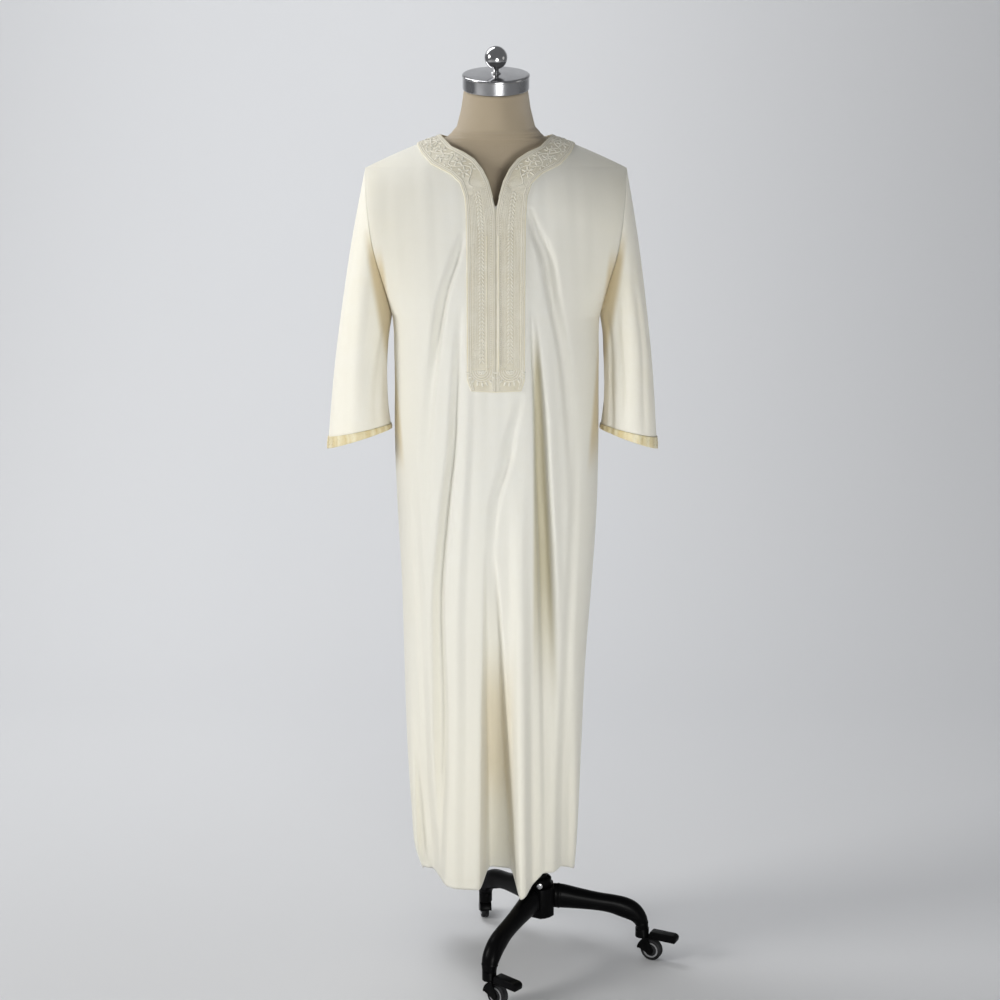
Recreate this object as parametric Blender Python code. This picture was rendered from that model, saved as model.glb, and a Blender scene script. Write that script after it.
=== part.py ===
"""A long robe with three-quarter sleeves on a limbless dress form with a castor base. Metres, +Z up."""
import math

import bmesh
import bpy
import numpy as np
from mathutils import Matrix, Vector

# Places of the main lines, on the floor plan
ROBE_X, ROBE_Y = -0.0205, 0.0051        # centre line and shoulder line of the robe and the form
HUB_X, HUB_Y = 0.0605, -0.0059          # post and hub, beside the robe's centre line

# Cloth
WALL = 0.0015                           # cloth wall
SEAM = 0.0005                           # gap between pieces at a seam
ARM_SEAM = 0.0020                       # the same at the slanted armhole
LIFT = 0.0012                           # gap between a panel and what lies on it
SHOULDER_Z, TIP_Z = 1.538, 1.475        # top of the shoulder line and its tip
SLOPE_X, NECK_X, TIP_X = 0.060, 0.097, 0.228   # where it starts to fall, the neck's edge, the tip
ARM_Z = 1.220                           # underarm
HEM_Z = 0.155
ARM_BULGE = 0.060                       # armhole loop, front and back of the shoulder line
ROLL_FRONT, ROLL_BACK = 0.130, 0.080     # height over which a panel rolls off the shoulder line

# Body of the robe: half widths, side seam, depth in front of it and behind it, squareness
BODY = dict(
    z=[0.155, 0.200, 0.300, 0.400, 0.580, 0.750, 0.860, 1.000,
       1.140, 1.220, 1.270, 1.330, 1.400, 1.475, 1.540],
    left=[0.141, 0.153, 0.161, 0.166, 0.170, 0.173, 0.178, 0.182,
          0.181, 0.184, 0.195, 0.211, 0.222, 0.228, 0.228],
    right=[0.149, 0.152, 0.156, 0.159, 0.165, 0.176, 0.182, 0.184,
           0.183, 0.184, 0.195, 0.211, 0.222, 0.228, 0.228],
    seam=[0.050, 0.046, 0.038, 0.031, 0.020, 0.012, 0.008, 0.004,
          0.001, 0.000, 0.000, 0.000, 0.000, 0.000, 0.000],
    front=[0.104, 0.110, 0.118, 0.122, 0.125, 0.124, 0.123, 0.122,
           0.121, 0.121, 0.120, 0.115, 0.107, 0.100, 0.098],
    back=[0.092, 0.093, 0.096, 0.099, 0.106, 0.112, 0.114, 0.110,
          0.107, 0.107, 0.107, 0.105, 0.100, 0.094, 0.090],
    square=[2.6, 2.6, 2.6, 2.5, 2.4, 2.3, 2.3, 2.3,
            2.3, 2.4, 2.4, 2.4, 2.4, 2.4, 2.4],
)

# Folds of a panel: height where each starts and where it is full, its middle at the start and at the hem,
# its half width there, its depth where it is full and at the hem (out is +), and how much of it is flat
FRONT_FOLDS = [
    dict(name="centre valley", top=0.82, full=0.155, x=(-0.010, 0.007), half=(0.012, 0.040),
         depth=(-0.108, -0.108), flat=0.45),
    dict(name="left crease", top=1.25, full=1.000, x=(-0.066, -0.108), half=(0.014, 0.020),
         depth=(-0.014, -0.020), flat=0.0),
    dict(name="right deep valley", top=1.24, full=0.930, x=(0.063, 0.094), half=(0.011, 0.024),
         depth=(-0.026, -0.004), flat=0.2),
    dict(name="right pleat", top=0.95, full=0.155, x=(0.040, 0.049), half=(0.022, 0.021),
         depth=(0.034, 0.034), flat=0.1),
    dict(name="left side recess", top=0.60, full=0.155, x=(-0.140, -0.130), half=(0.020, 0.030),
         depth=(-0.050, -0.050), flat=0.2),
    dict(name="right side recess", top=0.66, full=0.155, x=(0.125, 0.131), half=(0.020, 0.026),
         depth=(-0.028, -0.028), flat=0.2),
    dict(name="left upper fold", top=1.37, full=1.200, x=(-0.070, -0.150), half=(0.015, 0.018),
         depth=(-0.010, -0.004), flat=0.0),
    dict(name="right upper fold", top=1.40, full=1.250, x=(0.066, 0.150), half=(0.016, 0.018),
         depth=(-0.012, -0.004), flat=0.0),
    dict(name="below placket", top=1.08, full=0.950, x=(0.026, -0.020), half=(0.014, 0.020),
         depth=(-0.010, -0.003), flat=0.0),
]
BACK_FOLDS = [
    dict(name="left fold", top=1.20, full=0.500, x=(-0.050, -0.072), half=(0.020, 0.034),
         depth=(-0.024, -0.036), flat=0.2),
    dict(name="middle pleat", top=1.10, full=0.400, x=(0.000, 0.005), half=(0.030, 0.034),
         depth=(0.010, 0.014), flat=0.2),
    dict(name="right fold", top=1.24, full=0.600, x=(0.048, 0.078), half=(0.020, 0.036),
         depth=(-0.028, -0.040), flat=0.2),
]

# Height of the hem across the front: it rides up where the cloth is pulled to the right
FRONT_HEM = dict(
    x=[-0.150, -0.110, -0.060, 0.000, 0.045, 0.064, 0.085, 0.120, 0.150],
    z=[0.166, 0.160, 0.155, 0.157, 0.150, 0.162, 0.186, 0.182, 0.166],
)

# Neckline from the shoulder line to the middle, and the outer edge of the embroidered band, which runs
# on down the front; each is distance from the centre line and height
NECKLINE = dict(
    x=[0.0000, 0.0040, 0.0080, 0.0130, 0.0230, 0.0370, 0.0540, 0.0760, 0.0970],
    z=[1.4040, 1.4160, 1.4300, 1.4500, 1.4700, 1.4870, 1.4980, 1.5080, 1.5291],
)
BAND_OUTER = dict(
    x=[0.1360, 0.1270, 0.1100, 0.0760, 0.0600, 0.0520, 0.0500, 0.0490, 0.0485, 0.0485, 0.0420],
    z=[1.5150, 1.4990, 1.4800, 1.4630, 1.4480, 1.4250, 1.4000, 1.3300, 1.2500, 1.1150, 1.0960],
)
BAND_INNER = dict(
    x=[0.0970, 0.0760, 0.0540, 0.0370, 0.0230, 0.0130, 0.0060, 0.0006, 0.0006, 0.0006, 0.0006],
    z=[1.5310, 1.5080, 1.4980, 1.4870, 1.4700, 1.4500, 1.4250, 1.4020, 1.2500, 1.1150, 1.0940],
)
BACK_NECK_Z = 1.508                     # middle of the back neckline
BACK_BAND = 0.040                       # height of the band there
BAND_WALL = 0.0014
PIPING = 0.0016                         # radius of the piping round the band
CORD_X, CORD_R = 0.0045, 0.0012         # placket cord: distance from the centre line, and radius
CORD_Z = (1.360, 1.130)

# Sleeves: the left and right cuff's middle, half width across and half depth, and the slant of their edges
CUFF = dict(x=(0.2455, 0.2385), half=(0.0572, 0.0510), depth=(0.0640, 0.0690), z=1.0010, slant=0.018,
            back_drop=0.006)
SLEEVE_SWELL = (0.009, 0.006)           # how far a sleeve stands out half way down, sideways and in depth
CUFF_RIBBON, CUFF_LIFT = 0.021, 0.0006  # height of the satin ribbon, and its gap to the sleeve
CUFF_WALL = 0.0009

# Dress form: height, half width, depth in front and behind, middle front to back, forward tilt
FORM = dict(
    z=[0.800, 0.812, 0.860, 0.940, 1.020, 1.100, 1.180, 1.260, 1.330, 1.390, 1.440, 1.474, 1.490, 1.5003,
       1.5117, 1.5205, 1.5285, 1.545, 1.575, 1.607],
    half=[0.140, 0.148, 0.157, 0.162, 0.156, 0.149, 0.152, 0.162, 0.172, 0.179, 0.183, 0.183, 0.178, 0.1664,
          0.1395, 0.1100, 0.0840, 0.0680, 0.0600, 0.0550],
    front=[0.074, 0.080, 0.085, 0.086, 0.085, 0.084, 0.088, 0.093, 0.093, 0.086, 0.073, 0.063, 0.060, 0.057,
           0.054, 0.053, 0.055, 0.0600, 0.0590, 0.0555],
    back=[0.088, 0.094, 0.102, 0.104, 0.096, 0.085, 0.084, 0.088, 0.090, 0.084, 0.074, 0.066, 0.064, 0.062,
          0.060, 0.058, 0.058, 0.0610, 0.0590, 0.0555],
    middle=[0.0, 0.0, 0.0, 0.0, 0.0, 0.0, 0.0, 0.0, 0.0, 0.0, 0.0, 0.0, 0.0, 0.0,
            0.0, 0.0, -0.003, -0.008, -0.014, -0.022],
    tilt=[0, 0, 0, 0, 0, 0, 0, 0, 0, 0, 0, 0, 0, 0, 0, 0, 3, 9, 15, 17],
    square=[2.3, 2.3, 2.3, 2.3, 2.3, 2.3, 2.3, 2.3, 2.3, 2.3, 2.3, 2.2, 2.1, 2.0,
            2.0, 2.0, 2.0, 2.0, 2.0, 2.0],
)
CAP_R, CAP_H = 0.0575, 0.026
BALL_R, BALL_STEM = 0.0195, 0.008

# Post: a rod that slides in a tube, held by a screw in the collar
ROD_R, TUBE_R, TUBE_WALL = 0.0110, 0.0150, 0.0036
ROD_FOOT_Z, TUBE_TOP_Z, TUBE_FOOT_Z = 0.300, 0.560, 0.100
FLANGE_R, FLANGE_H = 0.042, 0.008
CLAMP_R, CLAMP_H = 0.0230, 0.040

# Base: hub, three legs, castors
HUB_FLAT, HUB_FLAT_HALF = 0.0270, 0.0170   # distance of each leg's seat from the post, and its half width
HUB_LOW, HUB_TOP, RING_TOP = 0.094, 0.150, 0.166
RING_R = 0.0230
LEG_REACH = 0.1960
LEG_ANGLES = dict(right=1.6, back=121.6, front=241.6)
LEG = dict(
    reach=[0.0273, 0.045, 0.070, 0.095, 0.118, 0.140, 0.160, 0.1755, 0.1880, 0.1945, 0.1960],
    z=[0.1270, 0.1255, 0.1210, 0.1165, 0.1125, 0.1080, 0.1015, 0.0935, 0.0820, 0.0700, 0.0600],
    tall=[0.046, 0.045, 0.040, 0.036, 0.034, 0.0355, 0.0385, 0.0375, 0.031, 0.025, 0.023],
    wide=[0.033, 0.034, 0.032, 0.030, 0.029, 0.029, 0.031, 0.032, 0.032, 0.029, 0.026],
    lean=[0, 3, 10, 13, 12, 16, 28, 46, 64, 80, 90],
)
WHEEL_R, WHEEL_W, WHEEL_BORE = 0.0205, 0.0150, 0.0034
TRAIL = 0.0200                          # wheel's axle behind the swivel
SWIVELS = dict(right=-27.0, back=96.0, front=-42.0)   # way each wheel trails
STEM_R = 0.0130
HOOD_GAP, HOOD_WALL = 0.0020, 0.0035
CHEEK_GAP, CHEEK_WALL = 0.0012, 0.0028
HOOD_ARC = (100, 175)                   # stretch that the hood covers, from above the tread to the front
CHEEK_R = 0.0070                        # round end of a cheek at the axle
HUB_DISC_R = 0.0125
PEDAL_LENGTH, PEDAL_WIDTH = 0.0560, 0.0190
PEDAL_LOW, PEDAL_TOP = 0.0025, 0.0125     # below and above its hinge
PEDAL_ROUND = 0.0030                    # rounding of its ends
FIT = 0.0003                            # gap between parts that touch


def clear_scene():
    for obj in list(bpy.data.objects):
        bpy.data.objects.remove(obj, do_unlink=True)


def paint(obj, name, colour, roughness, metallic=0.0):
    material = bpy.data.materials.get(name) or bpy.data.materials.new(name)
    material.use_nodes = True
    shader = material.node_tree.nodes["Principled BSDF"]
    shader.inputs["Base Color"].default_value = (*colour, 1.0)
    shader.inputs["Roughness"].default_value = roughness
    shader.inputs["Metallic"].default_value = metallic
    obj.data.materials.append(material)


FINISHES = dict(
    cloth=((0.86, 0.83, 0.74), 0.75, 0.0), embroidery=((0.80, 0.74, 0.60), 0.6, 0.0),
    satin=((0.86, 0.76, 0.52), 0.3, 0.0), jersey=((0.60, 0.50, 0.36), 0.85, 0.0),
    chrome=((0.8, 0.8, 0.8), 0.15, 1.0), enamel=((0.01, 0.01, 0.01), 0.25, 0.0),
    rubber=((0.03, 0.03, 0.03), 0.7, 0.0),
)


def add_object(name, mesh, finish, smooth_angle=40.0):
    obj = bpy.data.objects.new(name, mesh)
    bpy.context.scene.collection.objects.link(obj)
    mesh.shade_smooth()
    mesh.set_sharp_from_angle(angle=math.radians(smooth_angle))
    colour, roughness, metallic = FINISHES[finish]
    paint(obj, finish, colour, roughness, metallic)
    return obj


def mesh_from(name, bm):
    bmesh.ops.recalc_face_normals(bm, faces=bm.faces[:])
    mesh = bpy.data.meshes.new(name)
    bm.to_mesh(mesh)
    bm.free()
    return mesh


def at(table, key, z, along="z"):
    """A column of a table at a height, on a smooth curve through its rows."""
    xs, ys = table[along], table[key]
    k = int(np.clip(np.searchsorted(xs, z) - 1, 0, len(xs) - 2))
    slopes = np.gradient(ys, xs)
    width = xs[k + 1] - xs[k]
    t = min(max((z - xs[k]) / width, 0.0), 1.0)
    a, b = ys[k], ys[k + 1]
    return ((2 * t**3 - 3 * t**2 + 1) * a + (t**3 - 2 * t**2 + t) * width * slopes[k]
            + (3 * t**2 - 2 * t**3) * b + (t**3 - t**2) * width * slopes[k + 1])


def bump(distance, flat):
    """1 in the middle, 0 from a distance of 1 on, level over the flat share."""
    t = min(max((abs(distance) - flat) / (1.0 - flat), 0.0), 1.0)
    return 0.5 + 0.5 * math.cos(math.pi * t)


def eased(t):
    t = min(max(t, 0.0), 1.0)
    return t * t * (3.0 - 2.0 * t)


def fold_depth(folds, x, z):
    total = 0.0
    for fold in folds:
        if z < fold["top"]:
            t = (fold["top"] - z) / (fold["top"] - HEM_Z)
            middle = fold["x"][0] + (fold["x"][1] - fold["x"][0]) * t
            half = fold["half"][0] + (fold["half"][1] - fold["half"][0]) * t
            grown = eased((fold["top"] - z) / (fold["top"] - fold["full"]))
            below = max(fold["full"] - z, 0.0) / max(fold["full"] - HEM_Z, 0.001)
            depth = fold["depth"][0] + (fold["depth"][1] - fold["depth"][0]) * min(below, 1.0)
            total += depth * grown * bump((x - middle) / half, fold["flat"])
    return total


def shoulder_line(x):
    t = max((abs(x) - SLOPE_X) / (TIP_X - SLOPE_X), 0.0)
    return SHOULDER_Z + (TIP_Z - SHOULDER_Z) * t**1.3


def armhole(z):
    """How far the armhole's edge lies in front of the side seam's line, and behind it."""
    if z >= TIP_Z or z <= ARM_Z:
        return 0.0
    return ARM_BULGE * math.sin(math.pi * (TIP_Z - z) / (TIP_Z - ARM_Z)) ** 0.7


def panel_point(side, x, z):
    """A point of the robe's outer face: side is -1 in front and 1 behind."""
    half = at(BODY, "left" if x < 0 else "right", z)
    depth = at(BODY, "front" if side < 0 else "back", z)
    n = at(BODY, "square", z)
    edge = armhole(z)
    u = min(abs(x) / half, 1.0)
    fall = min(max((shoulder_line(x) - z) / (ROLL_FRONT if side < 0 else ROLL_BACK), 0.0), 1.0)
    roll = math.sqrt(1.0 - (1.0 - fall) ** 2)
    reach = (1.0 - u**n) ** (1.0 / n)
    out = SEAM / 2 + edge + (depth - edge) * reach * roll
    out += fold_depth(FRONT_FOLDS if side < 0 else BACK_FOLDS, x, z) * min(1.0, 1.6 * reach)
    return Vector((x, at(BODY, "seam", z) + side * out, z))


def even_columns(side, z, count):
    """Places across a panel at one height, evenly spaced along the cloth."""
    left, right = at(BODY, "left", z), at(BODY, "right", z)
    angles = np.linspace(0.0, math.pi, 241)
    xs = [-math.cos(a) * (left if math.cos(a) > 0 else right) for a in angles]
    points = [panel_point(side, x, z) for x in xs]
    run = np.cumsum([0.0] + [(b - a).length for a, b in zip(points, points[1:])])
    return np.interp(np.linspace(0.0, run[-1], count), run, xs)


def neck_top(side, x):
    """Height of a panel's upper edge: the neckline in the middle, then the shoulder seam."""
    if abs(x) >= NECK_X:
        return shoulder_line(x)
    if side < 0:
        return float(np.interp(abs(x), NECKLINE["x"], NECKLINE["z"]))
    return BACK_NECK_Z + (shoulder_line(NECK_X) - BACK_NECK_Z) * (abs(x) / NECK_X) ** 2.2


def panel_grid(side, columns, upper, lower):
    """Rows of a panel's outer face, from the neckline and shoulder seam down to the hem."""
    arm = even_columns(side, ARM_Z, columns)
    rows = []
    for k in range(upper):
        t = (k / upper) ** 2.0
        row = []
        for x in arm:
            top = neck_top(side, x * TIP_X / at(BODY, "left", ARM_Z))
            z = top + (ARM_Z - top) * t
            spread = at(BODY, "left", min(z, TIP_Z)) / at(BODY, "left", ARM_Z)
            row.append(panel_point(side, x * spread, z))
        rows.append(row)
    for k in range(lower + 1):
        level = ARM_Z + (HEM_Z - ARM_Z) * (k / lower)
        row = []
        for x in even_columns(side, level, columns):
            lift = float(np.interp(x, FRONT_HEM["x"], FRONT_HEM["z"])) - HEM_Z if side < 0 else 0.0
            z = level + lift * (k / lower) ** 4
            name = "left" if x < 0 else "right"
            row.append(panel_point(side, x * at(BODY, name, z) / at(BODY, name, level), z))
        rows.append(row)
    return rows


def grid_normals(rows, closed):
    """Normals of a grid of points, by the lines through each point's neighbours."""
    count = len(rows[0])
    normals = []
    for i, row in enumerate(rows):
        line = []
        for j in range(count):
            before = row[j - 1] if j > 0 or closed else row[j]
            after = row[(j + 1) % count] if j < count - 1 or closed else row[j]
            above, below = rows[max(i - 1, 0)][j], rows[min(i + 1, len(rows) - 1)][j]
            line.append((below - above).cross(after - before).normalized())
        normals.append(line)
    return normals


def wall_between(name, outer, inner, closed):
    """A closed solid between two grids of points, with both faces split along the same diagonals."""
    bm = bmesh.new()
    out, into = ([[bm.verts.new(p) for p in row] for row in rows] for rows in (outer, inner))
    height, count = len(outer), len(outer[0])
    spans = count if closed else count - 1
    for i in range(height - 1):
        for j in range(spans):
            k = (j + 1) % count
            corners = [(i, j), (i, k), (i + 1, k), (i + 1, j)]
            if (outer[i][j] - outer[i + 1][k]).length > (outer[i][k] - outer[i + 1][j]).length:
                corners = corners[1:] + corners[:1]
            for a, b, c in ((0, 1, 2), (0, 2, 3)):
                bm.faces.new([out[r][s] for r, s in (corners[a], corners[b], corners[c])])
                bm.faces.new([into[r][s] for r, s in (corners[c], corners[b], corners[a])])
    for i in (0, height - 1):
        for j in range(spans):
            k = (j + 1) % count
            bm.faces.new((out[i][j], out[i][k], into[i][k], into[i][j]))
    if not closed:
        for i in range(height - 1):
            for j in (0, count - 1):
                bm.faces.new((out[i][j], out[i + 1][j], into[i + 1][j], into[i][j]))
    return mesh_from(name, bm)


def moved(rows, normals, distance, side):
    """Points moved along their normals, kept on their own side of the seams."""
    grid = []
    for row, line in zip(rows, normals):
        points = []
        for p, n in zip(row, line):
            limit = at(BODY, "seam", p.z) + side * SEAM / 2
            if side and abs(p.y - limit) < SEAM:
                n = Vector((n.x, 0.0, n.z)).normalized()
            point = p + n * distance
            if side * (point.y - limit) < 0:
                point.y = limit
            points.append(point)
        grid.append(points)
    return grid


def sheet_of(name, rows, finish, outward, lift=0.0, wall=WALL, closed=False, side=0):
    """A cloth piece with its outer face on the rows, or lifted off them, and its wall behind it."""
    normals = grid_normals(rows, closed)
    if normals[len(rows) // 2][len(rows[0]) // 2].dot(outward) < 0:
        normals = [[-n for n in line] for line in normals]
    top = moved(rows, normals, lift + (wall if lift else 0.0), side)
    under = moved(rows, normals, lift if lift else -wall, side)
    return add_object(name, wall_between(name, top, under, closed), finish)


def place_robe(obj):
    obj.location = (ROBE_X, ROBE_Y, 0.0)
    return obj


def make_body():
    front = panel_grid(-1, 39, 11, 18)
    back = panel_grid(1, 29, 9, 13)
    place_robe(sheet_of("robe_front", front, "cloth", Vector((0, -1, 0)), side=-1))
    place_robe(sheet_of("robe_back", back, "cloth", Vector((0, 1, 0)), side=1))


def sleeve_grid(side, rings, around):
    """Rings of a sleeve from the armhole to its edge; side is -1 for the one at -X."""
    middle, half, depth = (CUFF[key][0 if side < 0 else 1] for key in ("x", "half", "depth"))
    rows = []
    for k in range(rings + 1):
        t = k / rings
        row = []
        for j in range(around):
            a = 2 * math.pi * j / around
            lower = 0.5 - 0.5 * math.cos(a)
            z = TIP_Z + (ARM_Z - TIP_Z) * lower
            start_y = -armhole(z) * (1 if math.sin(a) > 0 else -1)
            start = Vector((side * (at(BODY, "left", z) + ARM_SEAM), start_y, z))
            edge_z = CUFF["z"] - CUFF["slant"] * math.cos(a) - CUFF["back_drop"] * (0.5 - 0.5 * math.sin(a))
            end = Vector((side * (middle + half * math.cos(a)), -depth * math.sin(a), edge_z))
            point = start.lerp(end, t)
            swell = math.sin(math.pi * t)
            point.x += side * swell * SLEEVE_SWELL[0]
            point.y -= swell * SLEEVE_SWELL[1] * math.sin(a)
            row.append(point)
        rows.append(row)
    return rows


def make_sleeve(side, word):
    rings, around = 11, 24
    rows = sleeve_grid(side, rings, around)
    outward = Vector((0.0, rows[rings // 2][around // 2].y, 0.0)) + Vector((-side, 0, 0))
    place_robe(sheet_of("sleeve_" + word, rows, "cloth", outward, closed=True))
    edge, share = rows[-1], CUFF_RIBBON / (TIP_Z - CUFF["z"])
    above = [a.lerp(b, 1 - share * rings) for a, b in zip(rows[-2], edge)]
    middle = [a.lerp(b, 0.5) for a, b in zip(above, edge)]
    ribbon = [above, middle, edge]
    place_robe(sheet_of("cuff_" + word, ribbon, "satin", outward, lift=CUFF_LIFT, wall=CUFF_WALL,
                        closed=True))


def band_grid(side, across):
    """Rows down one half of the neck band, each from its inner to its outer edge."""
    rows = []
    last = len(BAND_INNER["x"]) - 1
    for s in last * np.linspace(0.0, 1.0, 25) ** 1.9:
        row = []
        for t in np.linspace(0.0, 1.0, across + 1):
            x, z = ((1 - t) * float(np.interp(s, range(last + 1), BAND_INNER[key]))
                    + t * float(np.interp(s, range(last + 1), BAND_OUTER[key])) for key in "xz")
            start_x, start_z = ((1 - t) * BAND_INNER[key][0] + t * BAND_OUTER[key][0] for key in "xz")
            z += (shoulder_line(start_x) - start_z) * max(1.0 - s, 0.0)
            row.append(panel_point(-1, side * x, z))
        rows.append(row)
    return rows


def tube_along(name, points, radius, sides, finish):
    """A round bar with closed ends through a line of points."""
    curve = bpy.data.curves.new(name, "CURVE")
    curve.dimensions = "3D"
    curve.bevel_depth = radius
    curve.bevel_resolution = sides
    curve.use_fill_caps = True
    spline = curve.splines.new("POLY")
    spline.points.add(len(points) - 1)
    for spot, p in zip(spline.points, points):
        spot.co = (*p, 1.0)
    obj = bpy.data.objects.new(name, curve)
    bpy.context.scene.collection.objects.link(obj)
    curve.materials.append(bpy.data.materials.get(finish) or bpy.data.materials.new(finish))
    return obj


def make_bands():
    for side, word in ((-1, "left"), (1, "right")):
        rows = band_grid(side, 3)
        place_robe(sheet_of("neck_band_" + word, rows, "embroidery", Vector((0, -1, 0)), LIFT, BAND_WALL,
                            side=-1))
        normals = grid_normals(rows, False)
        if normals[14][2].y > 0:
            normals = [[-n for n in line] for line in normals]
        edge = []
        for k in range(1, len(rows) - 1):
            run = (rows[k + 1][-1] - rows[k - 1][-1]).normalized()
            across = run.cross(normals[k][-1]).normalized()
            away = across if across.dot(rows[k][-1] - rows[k][0]) > 0 else -across
            edge.append(rows[k][-1] + normals[k][-1] * (PIPING + LIFT) + away * (PIPING + SEAM))
        place_robe(tube_along("piping_" + word, edge, PIPING, 0, "embroidery"))
    back = []
    for k in range(15):
        a = math.pi * k / 14
        row = []
        for t in np.linspace(0.0, 1.0, 5):
            x = -math.cos(a) * (NECK_X + (BAND_OUTER["x"][0] - NECK_X) * t)
            drop = (shoulder_line(x) - BACK_NECK_Z + BACK_BAND * t) * (1.0 - abs(math.cos(a)) ** 2.2)
            row.append(panel_point(1, x, shoulder_line(x) - drop))
        back.append(row)
    place_robe(sheet_of("neck_band_back", back, "embroidery", Vector((0, 1, 0)), LIFT, BAND_WALL, side=1))
    cord = []
    for z in np.linspace(*CORD_Z, 16):
        cord.append(panel_point(-1, CORD_X, z) + Vector((0, -(LIFT + BAND_WALL + SEAM + CORD_R), 0)))
    place_robe(tube_along("placket_cord", cord, CORD_R, 0, "embroidery"))


def ring_points(z, half, front, back, middle, tilt, square, count):
    points = []
    for j in range(count):
        a = 2 * math.pi * j / count
        c, s = math.cos(a), math.sin(a)
        x = half * math.copysign(abs(c) ** (2 / square), c)
        y = (back if s > 0 else front) * math.copysign(abs(s) ** (2 / square), s)
        lean = math.radians(tilt)
        points.append(Vector((x, middle + y * math.cos(lean), z + y * math.sin(lean))))
    return points


def stack_solid(name, rings):
    """A closed solid through a stack of rings with the same number of points."""
    bm = bmesh.new()
    verts = [[bm.verts.new(p) for p in ring] for ring in rings]
    count = len(rings[0])
    for low, high in zip(verts, verts[1:]):
        for j in range(count):
            k = (j + 1) % count
            bm.faces.new((low[j], low[k], high[k], high[j]))
    bm.faces.new(verts[0][::-1])
    bm.faces.new(verts[-1])
    return mesh_from(name, bm)


def make_form():
    rings = []
    for k in range(len(FORM["z"])):
        row = {key: FORM[key][k] for key in FORM}
        rings.append(ring_points(count=28, **row))
    place_robe(add_object("form_body", stack_solid("form_body", rings), "jersey"))
    top = Matrix.Translation((ROBE_X, ROBE_Y + FORM["middle"][-1], FORM["z"][-1]))
    tilt = top @ Matrix.Rotation(math.radians(FORM["tilt"][-1]), 4, "X")
    low = SEAM
    cap = turned([(0.0, low), (CAP_R - 0.002, low), (CAP_R, low + 0.002), (CAP_R, low + CAP_H - 0.004),
                  (CAP_R - 0.003, low + CAP_H), (0.0, low + CAP_H)], 32)
    cap_obj = add_object("neck_cap", mesh_from("neck_cap", cap), "chrome", 30)
    cap_obj.matrix_world = tilt
    base = low + CAP_H + FIT
    profile = [(0.0, base), (0.0070, base), (0.0048, base + BALL_STEM * 0.5), (0.0048, base + BALL_STEM)]
    for k in range(1, 9):
        a = -math.pi / 2 + 0.27 + (math.pi - 0.27) * k / 9
        profile.append((BALL_R * math.cos(a), base + BALL_STEM + BALL_R * 0.95 + BALL_R * math.sin(a)))
    profile.append((0.0, base + BALL_STEM + BALL_R * 1.95))
    ball = add_object("cap_ball", mesh_from("cap_ball", turned(profile, 18)), "chrome", 60)
    ball.matrix_world = tilt


def turned(profile, sides):
    """A bmesh of revolution round Z, from a profile of radius and height, lowest first."""
    bm = bmesh.new()
    rows = []
    for r, z in profile:
        if r == 0.0:
            rows.append([bm.verts.new((0, 0, z))])
        else:
            step = 2 * math.pi / sides
            rows.append([bm.verts.new((r * math.cos((j + 0.5) * step), r * math.sin((j + 0.5) * step), z))
                         for j in range(sides)])
    for low, high in zip(rows, rows[1:]):
        for j in range(sides):
            k = (j + 1) % sides
            corners = [low[j % len(low)], low[k % len(low)], high[k % len(high)], high[j % len(high)]]
            bm.faces.new([v for n, v in enumerate(corners) if v not in corners[:n]])
    return bm


def tube_profile(inner, outer, low, high):
    """A ring's bmesh: open bore, square edges."""
    return [(inner, low), (outer, low), (outer, high), (inner, high)]


def ring_bmesh(profile, sides):
    """A bmesh of revolution of a closed profile that stays clear of the axis."""
    bm = turned(profile + [profile[0]], sides)
    bmesh.ops.remove_doubles(bm, verts=bm.verts[:], dist=1e-6)
    return bm


def on_post(obj):
    obj.location = (HUB_X, HUB_Y, 0.0)
    return obj


def make_post():
    form_low = FORM["z"][0]
    flange_top = form_low - FIT
    rod = turned([(0.0, ROD_FOOT_Z), (ROD_R, ROD_FOOT_Z), (ROD_R, flange_top - FLANGE_H - 0.010),
                  (0.018, flange_top - FLANGE_H - 0.010), (0.018, flange_top - FLANGE_H),
                  (FLANGE_R, flange_top - FLANGE_H), (FLANGE_R, flange_top), (0.0, flange_top)], 24)
    on_post(add_object("post_rod", mesh_from("post_rod", rod), "chrome", 30))
    tube = ring_bmesh(tube_profile(TUBE_R - TUBE_WALL, TUBE_R, TUBE_FOOT_Z, TUBE_TOP_Z), 24)
    on_post(add_object("post_tube", mesh_from("post_tube", tube), "enamel", 30))
    low, high = TUBE_TOP_Z - CLAMP_H * 0.55, TUBE_TOP_Z + CLAMP_H * 0.45
    inner, lip = TUBE_R + FIT, ROD_R + FIT + 0.0001
    clamp = ring_bmesh([(inner, low), (CLAMP_R, low), (CLAMP_R, high), (lip, high),
                        (lip, TUBE_TOP_Z + FIT), (inner, TUBE_TOP_Z + FIT)], 24)
    on_post(add_object("post_clamp", mesh_from("post_clamp", clamp), "enamel", 30))
    screw = turned([(0.0, 0.0), (0.0040, 0.0), (0.0040, 0.012), (0.0120, 0.012), (0.0135, 0.014),
                    (0.0135, 0.024), (0.0115, 0.026), (0.0, 0.026)], 16)
    screw_obj = add_object("clamp_screw", mesh_from("clamp_screw", screw), "enamel", 30)
    seat = CLAMP_R * math.cos(math.pi / 24) + FIT
    screw_obj.location = (HUB_X, HUB_Y + seat, high - CLAMP_H * 0.22)
    screw_obj.rotation_euler = (-math.pi / 2, 0.0, 0.0)


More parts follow.
